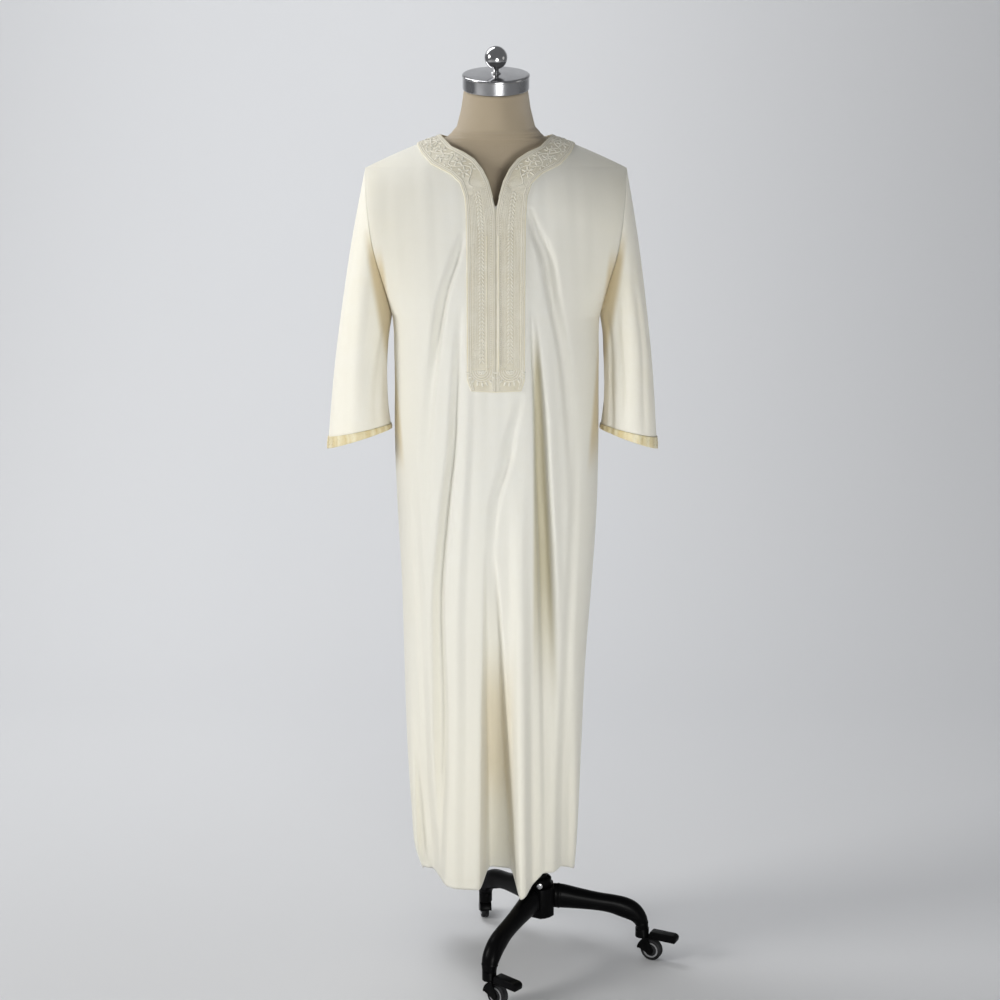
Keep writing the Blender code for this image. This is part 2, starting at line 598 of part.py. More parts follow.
def hub_outline(flat, half):
    """The hub's outline as radius and angle: a flat seat for each leg and a round stretch between."""
    spread = math.atan2(half, flat)
    angles = sorted(math.radians(a) for a in LEG_ANGLES.values())
    outline = []
    for k, a in enumerate(angles):
        for share in (-1.0, -0.5, 0.0, 0.5, 1.0):
            outline.append((flat / math.cos(share * spread), a + share * spread))
        gap = (angles[k + 1] if k < 2 else angles[0] + 2 * math.pi) - a - 2 * spread
        for share in (1 / 3, 2 / 3):
            outline.append((math.hypot(flat, half), a + spread + gap * share))
    return outline


def make_hub():
    """The cast hub, with a flat seat for each leg and a bore for the tube."""
    bore, outline = TUBE_R + 0.0006, hub_outline(HUB_FLAT, HUB_FLAT_HALF)
    bm = bmesh.new()
    loops = []
    for share, z in ((0.80, HUB_LOW - 0.004), (1.0, HUB_LOW), (1.0, HUB_TOP)):
        loops.append([bm.verts.new((r * share * math.cos(a), r * share * math.sin(a), z))
                      for r, a in outline])
    for z in (HUB_TOP, HUB_LOW - 0.004):
        loops.append([bm.verts.new((bore * math.cos(a), bore * math.sin(a), z)) for _, a in outline])
    for low, high in zip(loops, loops[1:] + loops[:1]):
        for j in range(len(outline)):
            k = (j + 1) % len(outline)
            bm.faces.new((low[j], low[k], high[k], high[j]))
    on_post(add_object("hub", mesh_from("hub", bm), "enamel", 30))
    ring = ring_bmesh([(bore, HUB_TOP + FIT), (RING_R, HUB_TOP + FIT), (RING_R, RING_TOP - 0.003),
                       (RING_R - 0.003, RING_TOP), (bore, RING_TOP)], 24)
    on_post(add_object("hub_ring", mesh_from("hub_ring", ring), "enamel", 30))
    screw = turned([(0.0, 0.0), (0.0035, 0.0), (0.0035, 0.003), (0.0055, 0.003), (0.0055, 0.007),
                    (0.0, 0.007)], 12)
    screw_obj = add_object("hub_screw", mesh_from("hub_screw", screw), "chrome", 30)
    seat = RING_R * math.cos(math.pi / 24) + FIT
    screw_obj.location = (HUB_X, HUB_Y - seat, HUB_TOP + 0.007)
    screw_obj.rotation_euler = (math.pi / 2, 0.0, 0.0)


def leg_mesh(name):
    """A cabriole leg along +X: rounded sections that turn from level to plumb."""
    rings = []
    for k in range(len(LEG["reach"])):
        row = {key: LEG[key][k] for key in LEG}
        lean = math.radians(row["lean"])
        ring = []
        for j in range(10):
            a = 2 * math.pi * j / 10 + math.pi / 10
            wide = row["wide"] / 2 * math.cos(a)
            tall = row["tall"] / 2 * math.sin(a)
            ring.append(Vector((row["reach"] + tall * math.sin(lean), wide,
                                row["z"] + tall * math.cos(lean))))
        rings.append(ring)
    return stack_solid(name, rings)


def leg_frame(angle):
    return Matrix.Translation((HUB_X, HUB_Y, 0.0)) @ Matrix.Rotation(math.radians(angle), 4, "Z")


def prism(outline, low, high):
    """A bmesh of an outline in X and Z, between two places along Y."""
    bm = bmesh.new()
    ends = [[bm.verts.new((x, y, z)) for x, z in outline] for y in (low, high)]
    for j in range(len(outline)):
        k = (j + 1) % len(outline)
        bm.faces.new((ends[0][j], ends[0][k], ends[1][k], ends[1][j]))
    bm.faces.new(ends[0][::-1])
    bm.faces.new(ends[1])
    bmesh.ops.recalc_face_normals(bm, faces=bm.faces[:])
    return bm


def arc(radius, start, stop, steps):
    angles = np.radians(np.linspace(start, stop, steps + 1))
    return [(radius * math.cos(a), radius * math.sin(a)) for a in angles]


def cut_or_join(obj, bm, operation, matrix):
    """Adds a boolean with a guide object made from a bmesh."""
    bmesh.ops.recalc_face_normals(bm, faces=bm.faces[:])
    mesh = bpy.data.meshes.new(obj.name + "_tool")
    bm.to_mesh(mesh)
    bm.free()
    tool = bpy.data.objects.new(obj.name + "_tool", mesh)
    bpy.context.scene.collection.objects.link(tool)
    tool.matrix_world = matrix
    tool.hide_render = True
    tool.display_type = "WIRE"
    modifier = obj.modifiers.new("tool", "BOOLEAN")
    modifier.operation = operation
    modifier.solver = "EXACT"
    modifier.object = tool


def make_castor(word):
    """A castor with its axle at its own origin's height, trailing along its own +X."""
    foot = leg_frame(LEG_ANGLES[word]) @ Vector((LEG_REACH, 0.0, 0.0))
    swivel = Matrix.Translation(foot) @ Matrix.Rotation(math.radians(SWIVELS[word]), 4, "Z")
    axle = swivel @ Matrix.Translation((TRAIL, 0.0, WHEEL_R))

    cheek = WHEEL_W / 2 + CHEEK_GAP
    outside = cheek + CHEEK_WALL
    inner, outer = WHEEL_R + HOOD_GAP, WHEEL_R + HOOD_GAP + HOOD_WALL
    start, stop = HOOD_ARC
    hood = prism(arc(outer, start, stop, 9) + arc(inner, stop, start, 9), -outside, outside)
    hood_mesh = mesh_from("castor_" + word, hood)
    fork = add_object("castor_" + word, hood_mesh, "enamel", 35)
    fork.matrix_world = axle
    for y in (-outside, cheek):
        outline = arc(outer - HOOD_WALL / 6, start + 4, stop - 4, 7) + arc(CHEEK_R, 230, 400, 6)
        cut_or_join(fork, prism(outline, y + 0.0002, y + CHEEK_WALL - 0.0002), "UNION", axle)
    pin_r, pin_half = WHEEL_BORE - 0.0004, outside - 0.001
    pin = turned([(0.0, -pin_half), (pin_r, -pin_half), (pin_r, pin_half), (0.0, pin_half)], 12)
    cut_or_join(fork, pin, "UNION", axle @ Matrix.Rotation(math.pi / 2, 4, "X"))
    stem_low = math.sqrt(inner**2 - (TRAIL - STEM_R) ** 2) + 0.001
    stem_high = LEG["z"][-1] - FIT - WHEEL_R
    stem = turned([(0.0, stem_low), (STEM_R, stem_low), (STEM_R, stem_high), (0.0, stem_high)], 20)
    cut_or_join(fork, stem, "UNION", axle @ Matrix.Translation((-TRAIL, 0.0, 0.0)))

    half = WHEEL_W / 2
    tread = WHEEL_R / math.cos(math.pi / 20)
    edge, dish = 0.0015, 0.0010
    wheel = ring_bmesh([(WHEEL_BORE, -half), (HUB_DISC_R, -half + dish), (tread - edge, -half),
                        (tread, -half + edge), (tread, half - edge), (tread - edge, half),
                        (HUB_DISC_R, half - dish), (WHEEL_BORE, half)], 20)
    wheel_obj = add_object("wheel_" + word, mesh_from("wheel_" + word, wheel), "rubber", 30)
    wheel_obj.matrix_world = axle @ Matrix.Rotation(math.pi / 2, 4, "X")

    # the pedal is a thick lever over the wheel, on a hinge across the castor
    tip, soft = PEDAL_LENGTH, PEDAL_ROUND
    outline = [(soft / 2, -PEDAL_LOW), (tip - soft, -PEDAL_LOW), (tip - soft / 3, soft - PEDAL_LOW),
               (tip, PEDAL_TOP / 2), (tip - soft / 3, PEDAL_TOP - soft), (tip - 2 * soft, PEDAL_TOP),
               (2 * soft, PEDAL_TOP), (soft, PEDAL_TOP - soft / 2), (FIT, PEDAL_LOW),
               (FIT, 0.0)]
    pedal = prism(outline, -PEDAL_WIDTH / 2, PEDAL_WIDTH / 2)
    pedal_obj = add_object("pedal_" + word, mesh_from("pedal_" + word, pedal), "enamel", 30)
    rise = math.radians(start)
    lift = Matrix.Translation((outer * math.cos(rise) + FIT, 0.0, outer * math.sin(rise)))
    pedal_obj.matrix_world = axle @ lift


def make_base():
    for word, angle in LEG_ANGLES.items():
        leg = add_object("leg_" + word, leg_mesh("leg_" + word), "enamel", 50)
        leg.matrix_world = leg_frame(angle)
        make_castor(word)


clear_scene()
make_body()
make_sleeve(-1, "left")
make_sleeve(1, "right")
make_bands()
make_form()
make_post()
make_hub()
make_base()
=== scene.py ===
import bpy
import bmesh
import math
import numpy as np
from mathutils import Matrix, Vector

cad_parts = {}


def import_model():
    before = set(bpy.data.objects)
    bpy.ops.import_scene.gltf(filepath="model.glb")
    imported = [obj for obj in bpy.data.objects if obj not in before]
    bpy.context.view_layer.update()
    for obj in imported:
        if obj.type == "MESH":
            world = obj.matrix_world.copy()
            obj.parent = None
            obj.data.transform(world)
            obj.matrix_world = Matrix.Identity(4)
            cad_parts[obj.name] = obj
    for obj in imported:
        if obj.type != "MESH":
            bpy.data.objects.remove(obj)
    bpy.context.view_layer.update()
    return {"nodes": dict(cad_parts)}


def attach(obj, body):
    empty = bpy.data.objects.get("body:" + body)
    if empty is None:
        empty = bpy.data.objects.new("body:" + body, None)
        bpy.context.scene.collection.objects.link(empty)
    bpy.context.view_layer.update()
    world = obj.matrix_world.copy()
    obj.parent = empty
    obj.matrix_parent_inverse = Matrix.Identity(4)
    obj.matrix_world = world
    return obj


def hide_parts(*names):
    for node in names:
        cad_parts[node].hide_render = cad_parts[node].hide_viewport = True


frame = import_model()

robePlace = np.array([-0.0205, 0.0051, 0.0])  # centre line of the robe and the form
postPlace = Vector((0.0605, -0.0059, 0.0))    # post and hub


# camera, backdrop, lights
camera = dict(place=(-0.0135, -2.9674, 1.435), tilt=79.5, lens=60.05)
studio = dict(half=5.5, front=-5.5, bend=2.6, back=4.2, top=6.0, tone=(0.68, 0.685, 0.70),
              cool=(0.66, 0.675, 0.70), world=(0.82, 0.83, 0.85), light=0.262)
lamps = [
    dict(name="key", place=(-3.95, -1.3, 2.2), aim=(0.0, 0.0, 1.1), size=1.6, power=96, tint=(1.0, 0.99, 0.96)),
    dict(name="fill", place=(4.0, -0.5, 1.3), aim=(0.0, 0.0, 0.5), size=1.8, power=6, tint=(1.0, 0.98, 0.92)),
    dict(name="low", place=(0.55, -2.5, 0.35), aim=(0.10, 0.0, 0.22), size=1.1, power=38, tint=(1.0, 1.0, 0.98)),
    dict(name="wall", place=(-1.2, 1.0, 3.3), aim=(1.1, 4.0, 0.9), size=2.2, power=82, tint=(0.98, 0.99, 1.0)),
]


def makeCamera():
    lens = bpy.data.cameras.new("photoCamera")
    lens.lens = camera["lens"]
    lens.sensor_width = 36.0
    obj = bpy.data.objects.new("photoCamera", lens)
    obj.location = camera["place"]
    obj.rotation_euler = (math.radians(camera["tilt"]), 0.0, 0.0)
    bpy.context.scene.collection.objects.link(obj)
    bpy.context.scene.camera = obj
    bpy.context.scene.view_settings.view_transform = "Standard"


def makeLamps():
    for lamp in lamps:
        data = bpy.data.lights.new(lamp["name"], "AREA")
        data.shape = "DISK"
        data.size = lamp["size"]
        data.energy = lamp["power"]
        data.color = lamp["tint"]
        obj = bpy.data.objects.new(lamp["name"], data)
        obj.location = lamp["place"]
        obj.rotation_euler = (Vector(lamp["aim"]) - Vector(lamp["place"])).to_track_quat("-Z", "Y").to_euler()
        bpy.context.scene.collection.objects.link(obj)
    world = bpy.data.worlds.new("studio")
    world.use_nodes = True
    sky = world.node_tree.nodes["Background"].inputs
    sky["Color"].default_value, sky["Strength"].default_value = (*studio["world"], 1.0), studio["light"]
    bpy.context.scene.world = world


# node helpers
def addNode(tree, kind, settings=None, **inputs):
    node = tree.nodes.new(kind)
    for key, value in (settings or {}).items():
        setattr(node, key, value)
    for key, value in inputs.items():
        socket = node.inputs[int(key[1:])] if key[0] == "i" and key[1:].isdigit() else node.inputs[key]
        if isinstance(value, bpy.types.NodeSocket):
            tree.links.new(value, socket)
        else:
            socket.default_value = value
    return node


def mathNode(tree, operation, a, b=0.0, clamp=False):
    return addNode(tree, "ShaderNodeMath", dict(operation=operation, use_clamp=clamp), i0=a, i1=b).outputs[0]


def times(tree, a, b, clamp=False):
    return mathNode(tree, "MULTIPLY", a, b, clamp)


def plus(tree, a, b, clamp=False):
    return mathNode(tree, "ADD", a, b, clamp)


def mixColour(tree, share, first, second, blend="MIX"):
    node = addNode(tree, "ShaderNodeMix", dict(data_type="RGBA", blend_type=blend))
    for place, value in ((0, share), (6, first), (7, second)):
        if isinstance(value, bpy.types.NodeSocket):
            tree.links.new(value, node.inputs[place])
        else:
            node.inputs[place].default_value = value
    return node.outputs[2]


def newGroup(name, inputs, outputs):
    tree = bpy.data.node_groups.new(name, "ShaderNodeTree")
    for label, kind, value in inputs:
        socket = tree.interface.new_socket(name=label, in_out="INPUT", socket_type=kind)
        if value is not None:
            socket.default_value = value
    for label in outputs:
        tree.interface.new_socket(name=label, in_out="OUTPUT", socket_type="NodeSocketFloat")
    return tree, tree.nodes.new("NodeGroupInput"), tree.nodes.new("NodeGroupOutput")


def weaveGroup():
    # plain weave of warp and weft, with uneven threads; Vector in metres along the cloth
    tree, start, end = newGroup("weave", [("Vector", "NodeSocketVector", None),
                                          ("Threads", "NodeSocketFloat", 2200.0),
                                          ("Slub", "NodeSocketFloat", 0.5)], ["Height", "Slub"])
    parts = axes(tree, start.outputs["Vector"])
    turns = times(tree, start.outputs["Threads"], math.pi)
    warp = mathNode(tree, "SINE", times(tree, parts["X"], turns))
    weft = mathNode(tree, "SINE", times(tree, parts["Y"], turns))
    crossing = times(tree, warp, weft)
    stretch = addNode(tree, "ShaderNodeMapping", Vector=start.outputs["Vector"], Scale=(900.0, 26.0, 1.0))
    slub = addNode(tree, "ShaderNodeTexNoise", Vector=stretch.outputs[0], Scale=1.0, Detail=3.0, Roughness=0.6)
    stretchAcross = addNode(tree, "ShaderNodeMapping", Vector=start.outputs["Vector"], Scale=(22.0, 700.0, 1.0))
    slubAcross = addNode(tree, "ShaderNodeTexNoise", Vector=stretchAcross.outputs[0], Scale=1.0, Detail=2.0)
    grain = plus(tree, slub.outputs[0], times(tree, slubAcross.outputs[0], 0.5))
    height = plus(tree, times(tree, crossing, 0.35),
                      times(tree, grain, start.outputs["Slub"]))
    tree.links.new(height, end.inputs["Height"])
    tree.links.new(times(tree, grain, 0.667), end.inputs["Slub"])
    return tree


def toneGroup():
    # large soft patches, and small ones
    tree, start, end = newGroup("tone", [("Vector", "NodeSocketVector", None),
                                         ("Large", "NodeSocketFloat", 5.0),
                                         ("Small", "NodeSocketFloat", 60.0)], ["Patches", "Specks"])
    for label, source in (("Patches", "Large"), ("Specks", "Small")):
        noise = addNode(tree, "ShaderNodeTexNoise", Vector=start.outputs["Vector"], Scale=start.outputs[source],
                        Detail=3.0, Roughness=0.55)
        tree.links.new(rangeOf(tree, noise.outputs[0], 0.34, 0.66), end.inputs[label])
    return tree


def hatchGroup():
    # satin stitch: close threads laid side by side, with a slow change of angle
    tree, start, end = newGroup("stitchHatch", [("Vector", "NodeSocketVector", None),
                                                ("Threads", "NodeSocketFloat", 1700.0)], ["Height"])
    bend = addNode(tree, "ShaderNodeTexNoise", Vector=start.outputs["Vector"], Scale=90.0, Detail=1.0)
    parts = axes(tree, start.outputs["Vector"])
    slant = plus(tree, parts["Y"], times(tree, bend.outputs[0], 0.006))
    line = plus(tree, slant, times(tree, parts["X"], 0.35))
    wave = mathNode(tree, "SINE", times(tree, line, times(tree, start.outputs["Threads"], 2 * math.pi)))
    tree.links.new(wave, end.inputs["Height"])
    return tree


def newMaterial(name, colour, roughness, constants=None):
    material = bpy.data.materials.new(name)
    material.use_nodes = True
    shader = material.node_tree.nodes["Principled BSDF"]
    shader.inputs["Base Color"].default_value = (*colour, 1.0)
    shader.inputs["Roughness"].default_value = roughness
    for key, value in (constants or {}).items():
        shader.inputs[key].default_value = value
    return material, material.node_tree, shader


def feed(tree, shader, colour, rough):
    tree.links.new(colour, shader.inputs["Base Color"])
    tree.links.new(rough, shader.inputs["Roughness"])


def useGroup(tree, group, **inputs):
    return addNode(tree, "ShaderNodeGroup", dict(node_tree=group), **inputs).outputs


def axes(tree, vector):
    return addNode(tree, "ShaderNodeSeparateXYZ", Vector=vector).outputs


def cutCoords(tree):
    return addNode(tree, "ShaderNodeUVMap", dict(uv_map="cut")).outputs[0]


def objectCoords(tree):
    return addNode(tree, "ShaderNodeTexCoord").outputs["Object"]


def bumpInto(tree, shader, height, distance, strength=1.0, before=None):
    bump = addNode(tree, "ShaderNodeBump", Height=height, Distance=distance, Strength=strength)
    if before is not None:
        tree.links.new(before, bump.inputs["Normal"])
    tree.links.new(bump.outputs[0], shader.inputs["Normal"])
    return bump.outputs[0]


tones = dict(
    # the warm tones of cloth and sleeve are painted shade towards the sides and lower down; the cool ones are the
    # lit middle
    cloth=(0.795, 0.780, 0.705), clothWarm=(0.800, 0.765, 0.640), clothCool=(0.800, 0.795, 0.745),
    sleeve=(0.950, 0.932, 0.855), sleeveWarm=(0.925, 0.890, 0.760), sleeveCool=(0.950, 0.940, 0.885),
    # the first two tones on the next line are painted shade for the cloth's hollows
    clothHollowShade=(0.620, 0.510, 0.300), clothShade=(0.520, 0.480, 0.340), threadGap=(0.60, 0.53, 0.38),
    thread=(0.905, 0.865, 0.750), threadPaleAndHighlight=(0.940, 0.915, 0.820), piping=(0.93, 0.87, 0.68),
    pipingPaleAndHighlight=(0.97, 0.94, 0.84),
    ground=(0.770, 0.715, 0.560), satin=(0.720, 0.590, 0.300), satinHighlight=(0.870, 0.795, 0.560),
    jersey=(0.450, 0.370, 0.262), jerseyDark=(0.395, 0.318, 0.215), jerseyLoopHighlight=(0.66, 0.55, 0.40),
    enamel=(0.0018, 0.0018, 0.0020), enamelWorn=(0.0026, 0.0026, 0.0028),
    rubber=(0.0060, 0.0060, 0.0062), rubberWorn=(0.032, 0.032, 0.034),
    steel=(0.50, 0.50, 0.51), steelWorn=(0.42, 0.42, 0.43),
    wheelFace=(0.42, 0.42, 0.43), wheelFaceWorn=(0.34, 0.34, 0.35),
)


def rangeOf(tree, value, low, high, kind="LINEAR"):
    node = addNode(tree, "ShaderNodeMapRange", dict(interpolation_type=kind), Value=value)
    node.inputs[1].default_value, node.inputs[2].default_value = low, high
    return node.outputs[0]


def maskOf(tree, places, steps):
    # product of soft steps, each from a value where the mask is empty to one where it is full
    total = 1.0
    for key, low, high in steps:
        total = times(tree, total, rangeOf(tree, places[key], low, high, "SMOOTHSTEP"))
    return total


# painted warm shade in the hollows: under the arms, in the centre valley and in the one beside the placket
robePaintedShade = dict(level=1.0, slope=-0.087, centre=0.004, beside=0.076, leanLevel=1.12, lean=0.055, share=0.85,
                arm=[("wedge", 0.162, 0.171), ("z", 1.35, 1.29), ("z", 0.93, 1.02), ("y", 0.03, -0.01)],
                valley=[("centre", 0.034, 0.016), ("z", 0.66, 0.50), ("z", -0.15, 0.40), ("y", 0.03, -0.01)],
                second=[("right", -0.014, -0.006), ("lean", 0.006, -0.002), ("z", 1.20, 1.12), ("z", 0.50, 0.80),
                        ("y", 0.03, -0.01)])
sleevePaintedShade = dict(level=1.13, slope=-0.15, share=0.85,
                  arm=[("wedge", 0.198, 0.186), ("z", 1.38, 1.31), ("z", 1.08, 1.15)])


def clothMaterial(name, kind, hem, tint):
    # hem: height of the turned hem's stitch line, in metres up the cloth
    material, tree, shader = newMaterial(name, tones[kind], 0.62, {"Sheen Weight": 0.25, "Sheen Roughness": 0.45,
                                                                   "Specular IOR Level": 0.35})
    uv, place = cutCoords(tree), objectCoords(tree)
    threads = useGroup(tree, weave, Vector=uv, Threads=1900.0, Slub=0.9)
    patches = useGroup(tree, tone, Vector=place, Large=4.5, Small=38.0)
    parts = axes(tree, place)
    x, z = plus(tree, parts["X"], -float(robePlace[0])), parts["Z"]
    away = mathNode(tree, "ABSOLUTE", x)
    uneven = plus(tree, times(tree, patches["Patches"], 0.5), 0.45)
    # painted shade: warmer and darker towards the sides and lower down, varied by random patches; the cool tone
    # stands for the lit middle
    shadeWarmth = times(tree, rangeOf(tree, away, 0.08, 0.24), uneven, True)
    shadeWarmth = mathNode(tree, "MAXIMUM", shadeWarmth, times(tree, rangeOf(tree, z, 0.95, 0.35), 0.55))
    colour = mixColour(tree, shadeWarmth, (*tones[kind + "Cool"], 1), (*tones[kind + "Warm"], 1))
    colour = mixColour(tree, times(tree, patches["Specks"], 0.35), colour, (*tones[kind], 1))
    # painted shade: the hollows under the arms, in the centre valley and beside the placket are mixed towards
    # darker tan and grey
    wedge = plus(tree, away, times(tree, plus(tree, z, -tint["level"]), tint["slope"]))
    places = dict(z=z, y=parts["Y"], wedge=wedge)
    shade = maskOf(tree, places, tint["arm"])
    if "valley" in tint:
        places["centre"] = mathNode(tree, "ABSOLUTE", plus(tree, x, -tint["centre"]))
        places["right"] = plus(tree, x, -tint["beside"])
        lean = times(tree, plus(tree, z, -tint["leanLevel"]), tint["lean"])
        places["lean"] = plus(tree, places["right"], lean)
        second = times(tree, maskOf(tree, places, tint["second"]), 0.9)
        colour = mixColour(tree, second, colour, (*tones["clothShade"], 1))
        shade = mathNode(tree, "MAXIMUM", shade, times(tree, maskOf(tree, places, tint["valley"]), 0.5))
    colour = mixColour(tree, times(tree, shade, tint["share"]), colour, (*tones["clothHollowShade"], 1))
    colour = mixColour(tree, times(tree, threads["Slub"], 0.16), colour, (*tones["threadGap"], 1))
    feed(tree, shader, colour, plus(tree, 0.60, times(tree, threads["Slub"], 0.18)))
    first = bumpInto(tree, shader, threads["Height"], 0.00022, 0.55)
    run = axes(tree, uv)
    stitch = mathNode(tree, "LESS_THAN", mathNode(tree, "ABSOLUTE", plus(tree, run["Y"], -hem)), 0.0006)
    dash = mathNode(tree, "GREATER_THAN", mathNode(tree, "SINE", times(tree, run["X"], 2 * math.pi / 0.003)), -0.55)
    fold = mathNode(tree, "LESS_THAN", run["Y"], hem)
    sewn = plus(tree, times(tree, fold, 0.8), times(tree, times(tree, stitch, dash), -0.6))
    bumpInto(tree, shader, sewn, 0.0006, 0.6, first)
    return material


def threadMaterial(name, colour, light, rough):
    colour, light = tones[colour], tones[light]
    material, tree, shader = newMaterial(name, colour, rough, {"Sheen Weight": 0.3, "Sheen Roughness": 0.35})
    uv = cutCoords(tree)
    threads = useGroup(tree, hatch, Vector=uv, Threads=1500.0)
    patches = useGroup(tree, tone, Vector=uv, Large=22.0, Small=240.0)
    # lighter where the stitch threads rise: painted highlight; the larger patches are random pale tone
    share = plus(tree, times(tree, threads["Height"], 0.20), times(tree, patches["Patches"], 0.55), True)
    shade = mixColour(tree, share, (*colour, 1), (*light, 1))
    feed(tree, shader, shade, plus(tree, rough - 0.06, times(tree, patches["Specks"], 0.14)))
    bumpInto(tree, shader, threads["Height"], 0.00025, 0.6)
    return material


def satinMaterial():
    gloss = {"Anisotropic": 0.55, "Sheen Weight": 0.2}
    material, tree, shader = newMaterial("satinRibbon", tones["satin"], 0.30, gloss)
    uv = cutCoords(tree)
    patches = useGroup(tree, tone, Vector=uv, Large=30.0, Small=220.0)
    stretch = addNode(tree, "ShaderNodeMapping", Vector=uv, Scale=(70.0, 9.0, 1.0))
    pucker = addNode(tree, "ShaderNodeTexNoise", Vector=stretch.outputs[0], Scale=1.0, Detail=2.0)
    # painted highlight: the ribbon is lighter along the puckers, which the same noise also raises as bump
    share = rangeOf(tree, pucker.outputs[0], 0.40, 0.62)
    shade = mixColour(tree, share, (*tones["satin"], 1), (*tones["satinHighlight"], 1))
    feed(tree, shader, shade, plus(tree, 0.24, times(tree, patches["Specks"], 0.12)))
    warp = mathNode(tree, "SINE", times(tree, axes(tree, uv)["X"], 2 * math.pi * 2600))
    first = bumpInto(tree, shader, warp, 0.00008, 0.4)
    bumpInto(tree, shader, pucker.outputs[0], 0.0012, 0.7, first)
    return material


def jerseyMaterial():
    sheen = {"Sheen Weight": 0.35, "Sheen Roughness": 0.5}
    material, tree, shader = newMaterial("jersey", tones["jersey"], 0.86, sheen)
    uv = cutCoords(tree)
    parts = axes(tree, uv)
    rib = mathNode(tree, "SINE", times(tree, parts["X"], 2 * math.pi * 950))
    loop = mathNode(tree, "SINE", times(tree, parts["Y"], 2 * math.pi * 1100))
    knit = plus(tree, mathNode(tree, "ABSOLUTE", rib), times(tree, loop, 0.3))
    patches = useGroup(tree, tone, Vector=uv, Large=7.0, Small=90.0)
    shade = mixColour(tree, times(tree, patches["Patches"], 0.5), (*tones["jersey"], 1), (*tones["jerseyDark"], 1))
    # painted highlight on the knit loops, following their bump
    shade = mixColour(tree, times(tree, knit, 0.16), shade, (*tones["jerseyLoopHighlight"], 1))
    feed(tree, shader, shade, plus(tree, 0.80, times(tree, patches["Specks"], 0.12)))
    bumpInto(tree, shader, knit, 0.0003, 0.6)
    return material


def hardMaterial(name, key, rough, spread, bump, metal=0.0, coat=0.0):
    # a hard finish: patches of colour and gloss, and a fine uneven surface
    constants = {"Metallic": metal, "Coat Weight": coat, "Coat Roughness": 0.08,
                 "Specular IOR Level": 0.5 if metal else 0.04}
    material, tree, shader = newMaterial(name, tones[key], rough, constants)
    patches = useGroup(tree, tone, Vector=objectCoords(tree), Large=34.0, Small=420.0)
    shade = mixColour(tree, patches["Patches"], (*tones[key], 1), (*tones[key + "Worn"], 1))
    feed(tree, shader, shade, plus(tree, rough, times(tree, patches["Specks"], spread)))
    bumpInto(tree, shader, plus(tree, patches["Patches"], times(tree, patches["Specks"], 0.25)), bump, 0.5)
    return material


weave, tone, hatch = weaveGroup(), toneGroup(), hatchGroup()
finish = dict(
    body=clothMaterial("robeCloth", "cloth", 0.022, robePaintedShade),
    sleeve=clothMaterial("sleeveCloth", "sleeve", -1.0, sleevePaintedShade),
    band=threadMaterial("bandGround", "ground", "threadPaleAndHighlight", 0.62),
    thread=threadMaterial("raisedThread", "thread", "threadPaleAndHighlight", 0.42),
    piping=threadMaterial("pipingThread", "piping", "pipingPaleAndHighlight", 0.40),
    satin=satinMaterial(), jersey=jerseyMaterial(),
    chrome=hardMaterial("chrome", "steel", 0.10, 0.08, 0.00003, metal=1.0),
    enamel=hardMaterial("blackEnamel", "enamel", 0.30, 0.08, 0.00003, coat=0.012),
    rubber=hardMaterial("rubber", "rubber", 0.52, 0.2, 0.0002),
    wheelFace=hardMaterial("wheelFace", "wheelFace", 0.30, 0.15, 0.0001, metal=0.7),
)
print("materials made")


# shapes of the cloth
bodyTable = dict(
    z=[0.155, 0.200, 0.300, 0.400, 0.580, 0.750, 0.860, 1.000, 1.140, 1.220, 1.270, 1.330, 1.400, 1.475, 1.540],
    left=[0.141, 0.153, 0.161, 0.166, 0.170, 0.173, 0.178, 0.182, 0.181, 0.184, 0.195, 0.211, 0.222, 0.228, 0.228],
    right=[0.149, 0.152, 0.156, 0.159, 0.165, 0.176, 0.182, 0.184, 0.183, 0.184, 0.195, 0.211, 0.222, 0.228, 0.228],
    seam=[0.050, 0.046, 0.038, 0.031, 0.020, 0.012, 0.008, 0.004, 0.001, 0.000, 0.000, 0.000, 0.000, 0.000, 0.000],
    front=[0.104, 0.110, 0.118, 0.122, 0.125, 0.124, 0.123, 0.122, 0.121, 0.121, 0.120, 0.115, 0.107, 0.100, 0.098],
    back=[0.092, 0.093, 0.096, 0.099, 0.106, 0.112, 0.114, 0.110, 0.107, 0.107, 0.107, 0.105, 0.100, 0.094, 0.090],
    square=[2.6, 2.6, 2.6, 2.5, 2.4, 2.3, 2.3, 2.3, 2.3, 2.4, 2.4, 2.4, 2.4, 2.4, 2.4],
)
robe = dict(
    wall=0.0011, seam=0.0005, shoulderZ=1.538, tipZ=1.475, slopeX=0.060, neckX=0.097, tipX=0.228, armZ=1.220,
    hemZ=0.155, armBulge=0.060, rollFront=0.130, rollBack=0.080, backNeckZ=1.508, backBand=0.040,
    frontColumns=168, frontUpper=96, frontLower=190, backColumns=120, backUpper=80, backLower=150,
)
